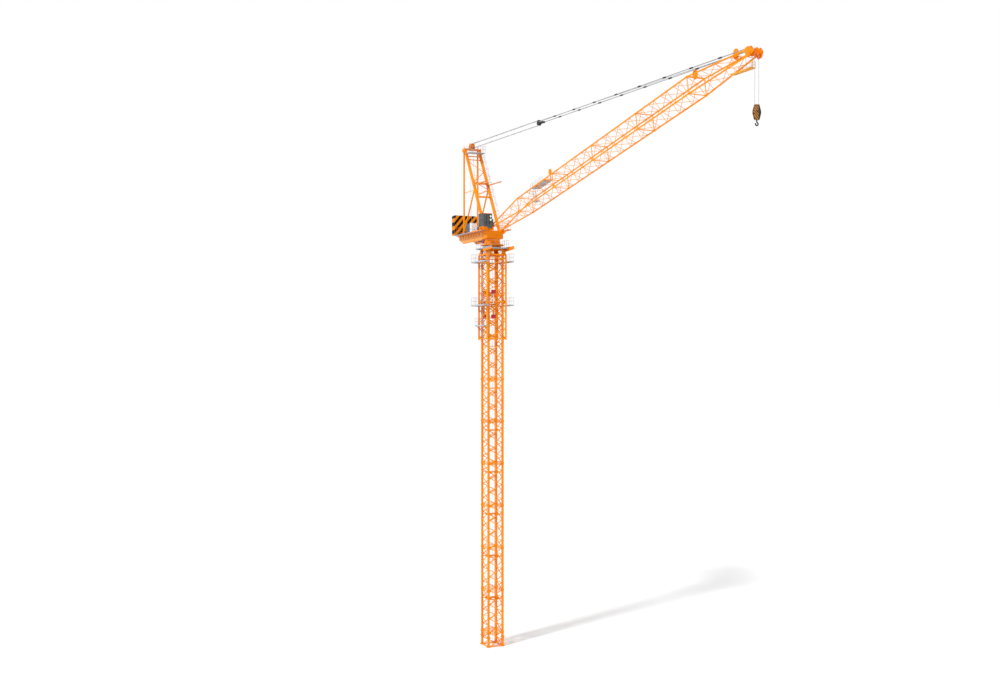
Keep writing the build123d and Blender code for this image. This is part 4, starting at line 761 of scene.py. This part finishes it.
# Cab: glazing bars, edges, lamps, heater, skirt, and the seat with its two consoles
trim = Shape()
sill, lintel = 5954, 6113
for y in (-288.3, -155.4):
    for x in (222, 278):
        trim.bar((x, y, sill), (x, y, lintel), 3.4)
    trim.bar((181, y, 6030), (319, y, 6030), 3.2)
for y in (-245, -200):
    trim.bar((330.6, y, sill), (330.6, y, lintel), 3)
trim.bar((330.6, -279, 6000), (330.6, -166, 6000), 3.2)
trim.bar((169.4, -222.5, sill), (169.4, -222.5, lintel), 3.4)
trim.make("cab_glazing_bars", DARK, "upperworks")
edges = Shape()
for z in (5942.5, 6122.4):
    outline = [(170, -288.4, z), (331, -288.4, z), (331, -156, z), (170, -156, z)]
    for start, end in zip(outline, outline[1:] + outline[:1]):
        edges.bar(start, end, 3.2, 3.2 if z < 6000 else 7)
edges.make("cab_edges", ORANGE, "upperworks", 0.5)
# Two lamps on the cab's front, their glass a pale green-white as a painted reflection
lamps = Shape()
for z in (6035, 6082):
    lamps.lathe((331, -180, z), (1, 0, 0), [(0, 8), (2, 13), (9, 15), (10, 13.5)], 20)
lamps.make("cab_lamps", LAMP_GLINT, "upperworks", smooth=True)
fittings = Shape()
fittings.box((258, -153.5, 5950), (300, -126, 6012))
fittings.box((262, -151, 6012), (296, -129, 6018))
for i in range(7):
    fittings.box((299.5, -150, 5962 + 6 * i), (301, -130, 5965 + 6 * i))
fittings.box((304, -153.5, 5941), (326, -134, 6050))
fittings.make("cab_heater", BROWN, "upperworks", 0.8)
skirt = Shape()
skirt.box((296, -214, 5917), (334, -158, 5935))
skirt.box((331.4, -286, 5935), (334, -158, 5945))
skirt.make("cab_skirt", CAB_GREY, "upperworks", 0.5)
seat = Shape()
seat.lathe((235, -222, 5947), (0, 0, 1), [(0, 16), (3, 16), (5, 6), (30, 6)], 16)
seat.plate([(215, -242, 5977), (258, -242, 5977), (260, -202, 5977), (215, -202, 5977)], (0, 0, 9))
seat.plate([(214, -240, 5986), (220, -240, 5986), (212, -240, 6046), (206, -240, 6046)], (0, 36, 0))
for y in (-254, -190):
    seat.box((232, y - 7, 5947), (270, y + 7, 5996))
    seat.tube([(262, y, 5996), (264, y, 6008)], 1.6, 8)
seat.make("cab_seat", DARK, "upperworks", 1.0)

# A-frame: caged ladder beside the far leg, middle platform, head rails, gussets, buffers and bolts
lean = Vector((-LEG_LEAN, 0, 1)).normalized()
front = Vector((1, 0, LEG_LEAN)).normalized()
caged = Shape()
ladder_foot = Vector((leg_x(5935), 148, 5935)) + front * 8
ladder_top = Vector((leg_x(7100), 148, 7100)) + front * 8
ladder(caged, ladder_foot, ladder_top, (0, 1, 0), 34, 30, 2.4)
hoop_run = ladder_top - ladder_foot
hoops = 10
for i in range(hoops):
    centre = ladder_foot + hoop_run * (0.14 + 0.85 * i / (hoops - 1))
    caged.tube(arc(centre, (0, 1, 0), front, HOOP_R, -0.15, pi + 0.15, 12), 2.0, 6)
for turn in (0.5, pi / 2, pi - 0.5):
    offset = Vector((0, 1, 0)) * HOOP_R * cos(turn) + front * HOOP_R * sin(turn)
    caged.bar(ladder_foot + hoop_run * 0.14 + offset, ladder_foot + hoop_run * 0.99 + offset, 1.2)
for share in (0.03, 0.25, 0.5, 0.75, 0.97):
    middle = ladder_foot + hoop_run * share - front * 3
    caged.bar(middle - Vector((0, 24, 0)), middle + Vector((0, 17, 0)), 4)
caged.make("frame_ladder", RAILING, "upperworks")

mid_deck = Shape()
mid_deck.box((leg_x(MID_DECK) + 19, -104, 6647.4), (leg_x(MID_DECK) + 90, 104, MID_DECK_TOP))
mid_deck.make("frame_middle_deck", TAN, "upperworks")
mid_rails = Shape()
x0, x1 = leg_x(MID_DECK) + 21, leg_x(MID_DECK) + 88
rail(mid_rails, [(x0, -102, MID_DECK_TOP), (x1, -102, MID_DECK_TOP), (x1, 102, MID_DECK_TOP),
                 (x0, 102, MID_DECK_TOP)], 100)
for y in (-90, 0, 90):
    mid_rails.bar((leg_x(6640), y, 6640), (x1, y, 6644), 5)
mid_rails.make("frame_middle_rails", LIT_LACE, "upperworks")

head_rails = Shape()
for side in (-1, 1):
    inside, outside = side * 44, side * 123
    rail(head_rails, [(-646, inside, HEAD_DECK_TOP), (-522, inside, HEAD_DECK_TOP)], 100)
    rail(head_rails, [(-522, inside, HEAD_DECK_TOP), (-522, outside, HEAD_DECK_TOP),
                      (-646, outside, HEAD_DECK_TOP)], 100)
head_rails.make("head_rails", RAILING, "upperworks")

gussets = Shape()
for side in (-1, 1):
    y = side * FRAME_Y
    for z in CROSS_ZS:
        x = leg_x(z)
        gussets.bar(Vector((x, y, z)) - lean * 24, Vector((x, y, z)) + lean * 24, 31.6, 37.6)
    gussets.lathe((TIE_X, y - side * 12, 5944), (0, side, 0), [(0, 20), (24, 20)], 20)
    gussets.lathe((TIE_X, y - side * 11, 7165), (0, side, 0), [(0, 11), (22, 11)], 20)
    spike = [(-9, 7165), (9, 7165), (6, 7240), (-6, 7240)]
    gussets.plate([(TIE_X + dx, y - 3, z) for dx, z in spike], (0, 6, 0))
    gussets.box((-30, y - 18, 5915.5), (30, y + 18, 5922))
gussets.make("frame_gussets", ORANGE, "upperworks", 0.6)

buffers = Shape()
for side in (-1, 1):
    buffers.lathe((50, side * FRAME_Y, 6620), (-1, 0, 0),
                  [(-0.2, 8), (0, 11), (12, 11), (16, 9), (22, 9)], 20)
buffers.make("backstop_buffers", ORANGE, "upperworks", smooth=True)
cheek_bolts = Shape()
for y in (-45, 32):
    for x, z in ((-745, 7210), (-700, 7210), (-715, 7238)):
        cheek_bolts.bolt((x, y, z), (0, 1 if y > 0 else -1, 0), 5, 4)
cheek_bolts.make("cheek_bolts", DARK, "upperworks")

# Ropes over the sheaves of the A-frame head
line_back = -LINE
head_arcs = Shape()
for y, winch_x in zip((HOIST_Y, LUFF_YS[-1]), WINCH_XS):
    run = (AXLE - Vector((winch_x, 0, WINCH_Z))).normalized()
    behind = Vector((-run.z, 0, run.x))
    reach = atan2(behind.dot(line_back), behind.dot(LINE_UP))
    head_arcs.tube(arc(AXLE + Vector((0, y, 0)), LINE_UP, line_back, PITCH_R, 0, reach, 10), ROPE_R, 8)
for y in LUFF_YS[:2]:
    head_arcs.tube(arc(AXLE + Vector((0, y, 0)), LINE_UP, line_back, PITCH_R, 0, pi, 16), ROPE_R, 8)
head_arcs.make("head_rope_arcs", ROPE, "upperworks", smooth=True)
tackle_arcs = Shape()
for y in LUFF_YS:
    tackle_arcs.tube(arc(EQUALIZER + Vector((0, y, 0)), LINE_UP, LINE, PITCH_R, 0, pi, 16), ROPE_R, 8)
tackle_arcs.make("tackle_rope_arcs", ROPE, "pendants", smooth=True)

# Luffing ropes and the hoist rope beside them, which shorten as the jib rises
lines = Shape()
for y in LUFF_YS:
    for way in (-1, 1):
        shift = LINE_UP * way * PITCH_R + Vector((0, y, 0))
        lines.tube([AXLE + shift + (EQUALIZER - AXLE) * i / 8 for i in range(9)], ROPE_R, 8)
hoist_run = SHEAVE - AXLE
hoist_up = Vector((-hoist_run.z, 0, hoist_run.x)).normalized() * PITCH_R
hoist_start = AXLE + hoist_up + Vector((0, HOIST_Y, 0))
hoist_end = SHEAVE + hoist_up + Vector((0, -FALL_Y, 0))
hoist_split = hoist_start + (hoist_end - hoist_start) * ((EQUALIZER - AXLE).length / hoist_run.length)
lines.tube([hoist_start + (hoist_split - hoist_start) * i / 8 for i in range(9)], ROPE_R, 8)
rope_piece = lines.make("luffing_lines", ROPE, "tackle")
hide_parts("luffing_ropes")
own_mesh(rope_piece)

# Pendants: dark couplers with pins
couplers = Shape()
for side in (-1, 1):
    for i in range(COUPLERS):
        middle = PENDANT_PIN - LINE * (COUPLER_FIRST + COUPLER_STEP * i) + Vector((0, side * PENDANT_Y, 0))
        couplers.bar(middle - LINE * 29, middle + LINE * 29, 14, 14)
        for shift in (-14, 14):
            couplers.lathe(middle + LINE * shift - Vector((0, 8.5, 0)), (0, 1, 0), [(0, 3), (17, 3)], 10)
couplers.make("pendant_couplers", DARK, "pendants", 0.8)

# Jib: pin joints between sections, walkway rails, ladder, landing, tip rails and edges, walkway grating
pins = Shape()
for x in JIB_JOINTS:
    for y in (-FRAME_Y, FRAME_Y):
        for z in CHORD_UPS:
            pins.bar(jib(x - 11, y, z), jib(x + 11, y, z), 15, 15, (0, 1, 0))
            for shift in (-7, 7):
                pins.lathe(jib(x + shift, y - 10, z), (0, 1, 0), [(0, 3), (20, 3)], 10)
pins.make("jib_pin_joints", ORANGE, "jib", 0.8)

walk_rails = Shape()


def jib_rail(shape, points, tall):
    """A rail whose points are along, across and up in the jib's own frame."""
    for start, end in zip(points, points[1:]):
        start, end = jib(*start), jib(*end)
        run = end - start
        steps = max(1, ceil(run.length / JIB_POST_PITCH))
        for i in range(steps + 1):
            foot = start + run * i / steps
            shape.bar(foot, foot + UP * tall, JIB_RAIL_BAR, JIB_RAIL_BAR, run)
        for share in RAIL_SHARES:
            shape.bar(start + UP * tall * share, end + UP * tall * share, JIB_RAIL_BAR)


jib_rail(walk_rails, [(1394, -108, 146), (1746, -108, 146)], 50)
jib_rail(walk_rails, [(1394, 28, 146), (1746, 28, 146)], 50)
walk_rails.make("jib_walk_rails", RAILING, "jib")
drop = Shape()
ladder(drop, jib(1400, -60, -44), jib(1400, -60, 190), (0, 1, 0), 32, 24, 4)
drop.make("jib_ladder", GREY, "jib")
landing = Shape()
corners = [jib(1380, -100, -43), jib(1470, -100, -43), jib(1470, -20, -43), jib(1380, -20, -43)]
landing.plate(corners, UP * 4)
landing.make("jib_landing", GRATE, "jib")

tip_rails = Shape()
rail(tip_rails, [(5614, 88, TIP_DECK_TOP), (5950, 88, TIP_DECK_TOP), (5950, 66, TIP_DECK_TOP)], 60)
tip_rails.make("tip_rails", LIT_LACE, "jib")
tip_edges = Shape()
tip_edges.bar((5613, 34.8, 6973), (5951, 34.8, 6973), 3, 12)
tip_edges.bar((5613, 89.2, 6973), (5951, 89.2, 6973), 3, 12)
for x in range(5619, 5955, 36):
    tip_edges.bar((x, 34, 6970), (x, 90, 6970), 3)
tip_edges.make("tip_edges", YELLOW, "jib")
walk_top = Shape()
walk_back, walk_front = 1389.4, 1750.6
for up, thick in ((146.8, 0.8), (140.2, 1)):
    walk_top.plate([jib(walk_back, -110.6, up), jib(walk_front, -110.6, up), jib(walk_front, 30.6, up),
                    jib(walk_back, 30.6, up)], UP * thick)
for y in (-111.2, 30.0):
    walk_top.plate([jib(walk_back, y, 140.2), jib(walk_front, y, 140.2), jib(walk_front, y, 147.6),
                    jib(walk_back, y, 147.6)], (0, 1.2, 0))
walk_top.make("walk_grating", GRATE, "jib")

# Oval plates over the two guides near the jib's end, and the outer cheek of the head sheaves
ovals = Shape()
for along, up, long, tall in ((5081, 174, 41, 51), (5781, 90, 43, 57)):
    ovals.plate([jib(along + long * cos(pi * i / 16), 0.4, up + tall * sin(pi * i / 16)) for i in range(32)],
                (0, 9.2, 0))
ovals.make("guide_ovals", ORANGE, "jib")
cheek = Shape()
cheek_outline = ((5992, -40), (6050, -46), (6094, -42), (6106, -25), (6100, 6), (6078, 44), (6052, 52),
                 (5996, 46))
cheek.plate([jib(x, -34, z) for x, z in cheek_outline], (0, 3, 0))
cheek.lathe(jib(HEAD_ALONG, -34, HEAD_UP), (0, -1, 0), [(0, 12), (2, 12), (4, 8), (5, 8)], 16)
cheek.make("sheave_cheek", ORANGE, "jib", 0.5)

guard_trim = Shape()
for y in (54.6, 61.2):
    corners = [jib(HEAD_ALONG + 54 * cos(pi * i / 3), y, HEAD_UP + 54 * sin(pi * i / 3)) for i in range(6)]
    for start, end in zip(corners, corners[1:] + corners[:1]):
        guard_trim.bar(start, end, 3)
guard_trim.lathe(jib(HEAD_ALONG, 58, HEAD_UP), (0, 1, 0), [(0, 14), (5, 14), (7, 10), (8.5, 10)], 16)
guard_trim.lathe(jib(HEAD_ALONG, -56, HEAD_UP), (0, -1, 0), [(0, 16), (3, 16), (4.5, 12), (6, 12)], 16)
guard_trim.make("guard_trim", DEEP, "jib", 0.4)

# Ropes at the jib head and in the hook block, and the socket where the falls end
jib_arcs = Shape()
fall_side = Vector((1, 0, 0))
straight_up = Vector((0, 0, 1))
top_angle = atan2(hoist_up.z, hoist_up.x)
for y, last_turn in ((-FALL_Y, top_angle), (FALL_Y, SOCKET_TURN)):
    jib_arcs.tube(arc(SHEAVE + Vector((0, y, 0)), fall_side, straight_up, PITCH_R + 0.02, 0.02, last_turn,
                      10), ROPE_R, 8)
end_point = (SHEAVE + Vector((0, FALL_Y, 0))
             + (fall_side * cos(SOCKET_TURN) + straight_up * sin(SOCKET_TURN)) * PITCH_R)
end_run = Vector((-sin(SOCKET_TURN), 0, cos(SOCKET_TURN)))
jib_arcs.tube([end_point, end_point + end_run * 30], ROPE_R, 8)
jib_arcs.make("jib_rope_arcs", ROPE, "jib", smooth=True)
socket = Shape()
socket.lathe(end_point + end_run * 18, end_run, [(0, 2.4), (14, 5), (22, 5), (24, 3)], 12)
socket.bar(end_point + end_run * 34, end_point + end_run * 34 + UP * -30 + Vector((0, 24, 0)), 5)
socket.make("rope_socket", DARK, "jib")
fall_arcs = Shape()
for y in (-FALL_Y, FALL_Y):
    fall_arcs.tube(arc(SHEAVE + Vector((0, y, 0)), fall_side, straight_up, PITCH_R, 0, pi / 2 - 0.1, 10),
                   ROPE_R, 8)
fall_arcs.tube(arc(BLOCK_AXLE, (0, 1, 0), (0, 0, -1), FALL_Y, 0, pi, 16), ROPE_R, 8)
fall_arcs.make("fall_rope_arcs", ROPE, "falls", smooth=True)

# Hook block: bolts, and black plates on both faces as painted shade for the block's shaded side
block_bolts = Shape()
for way in (-1, 1):
    x = FALL_X + way * 11
    block_bolts.lathe((x, 0, BLOCK_AXLE.z), (way, 0, 0), [(0, 10), (3, 10), (4, 6), (6, 6)], 20)
    for y, z in ((-16, 6572), (16, 6572), (-16, 6444), (16, 6444)):
        block_bolts.bolt((x, y, z), (way, 0, 0), 3, 2.4)
block_bolts.make("block_bolts", DARK, "falls", 0.3)
# Black plates on the block's faces: painted shade for its shaded side
block_shade_plates = Shape()
for way in (-1, 1):
    x = FALL_X + way * 11
    block_shade_plates.plate([(x, way * 12, 6578), (x, way * 23, 6578), (x, way * 42, 6520), (x, way * 42, 6496),
                       (x, way * 24, 6438), (x, way * 12, 6438), (x, way * 17, 6508)], (way * 2, 0, 0))
block_shade_plates.make("block_shade_plates", RUBBER, "falls")
# A thicker skin over the hook's shank and bowl
skin = Shape()
hook_points = [Vector((FALL_X, 0, 6431)), Vector((FALL_X, 0, 6426))]
hook_points += arc((FALL_X, HOOK_R, 6421), (0, 1, 0), straight_up, HOOK_R, pi, pi * 4 / 3, 5)
hook_points += arc((FALL_X, 0, HOOK_BOWL_Z), (0, 1, 0), straight_up, HOOK_R, pi / 3, -HOOK_TURN, 24)[1:]
skin.tube(hook_points, 6.4, 12)
skin.make("hook_forging", RUBBER, "hook_swivel", smooth=True)
latch = Shape()
latch.bar((FALL_X, -13, 6398), (FALL_X, 13, 6409), 1.6, 4)
latch.make("hook_latch", PALE, "hook_swivel")

# Floor, world and lamps
floor_mesh = bpy.data.meshes.new("floor")
floor_half, floor_z = 60.0, -0.002
floor_mesh.from_pydata([(-floor_half, -floor_half, floor_z), (floor_half, -floor_half, floor_z),
                        (floor_half, floor_half, floor_z), (-floor_half, floor_half, floor_z)],
                       [], [(0, 1, 2, 3)])
floor = bpy.data.objects.new("floor", floor_mesh)
bpy.context.scene.collection.objects.link(floor)
floor_look, floor_tree, floor_shader, floor_place = new_material("pale_floor")
floor_shade = ramp(floor_tree, noise(floor_tree, floor_place, 0.6), 0.3, 0.7, (0.93, 0.93, 0.93),
                   (0.96, 0.96, 0.96))
floor_tree.links.new(floor_shade, floor_shader.inputs["Base Color"])
floor_shader.inputs["Roughness"].default_value = 0.9
floor_mesh.materials.append(floor_look)

world = bpy.data.worlds.new("world")
world.use_nodes = True
bpy.context.scene.world = world
world_tree = world.node_tree
background = world_tree.nodes["Background"]
paths = world_tree.nodes.new("ShaderNodeLightPath")
# White where the camera looks, directly or through glass and gloss; softer as a light
seen = world_tree.nodes.new("ShaderNodeMath")
seen.operation = "MAXIMUM"
more = world_tree.nodes.new("ShaderNodeMath")
more.operation = "MAXIMUM"
world_tree.links.new(paths.outputs["Is Camera Ray"], seen.inputs[0])
world_tree.links.new(paths.outputs["Is Glossy Ray"], seen.inputs[1])
world_tree.links.new(seen.outputs[0], more.inputs[0])
world_tree.links.new(paths.outputs["Is Transmission Ray"], more.inputs[1])
level = world_tree.nodes.new("ShaderNodeMapRange")
level.inputs["To Min"].default_value = 0.62
level.inputs["To Max"].default_value = 1.0
world_tree.links.new(more.outputs[0], level.inputs["Value"])
world_tree.links.new(level.outputs["Result"], background.inputs["Strength"])
background.inputs["Color"].default_value = (1, 1, 1, 1)

for name, turn, strength, angle in (("key", (radians(48), 0, radians(22)), 2.4, 0.12),
                                    ("fill", (radians(60), 0, radians(130)), 0.4, 0.6)):
    sun = bpy.data.lights.new(name, "SUN")
    sun.energy = strength
    sun.angle = angle
    lamp = bpy.data.objects.new(name, sun)
    lamp.rotation_euler = turn
    bpy.context.scene.collection.objects.link(lamp)
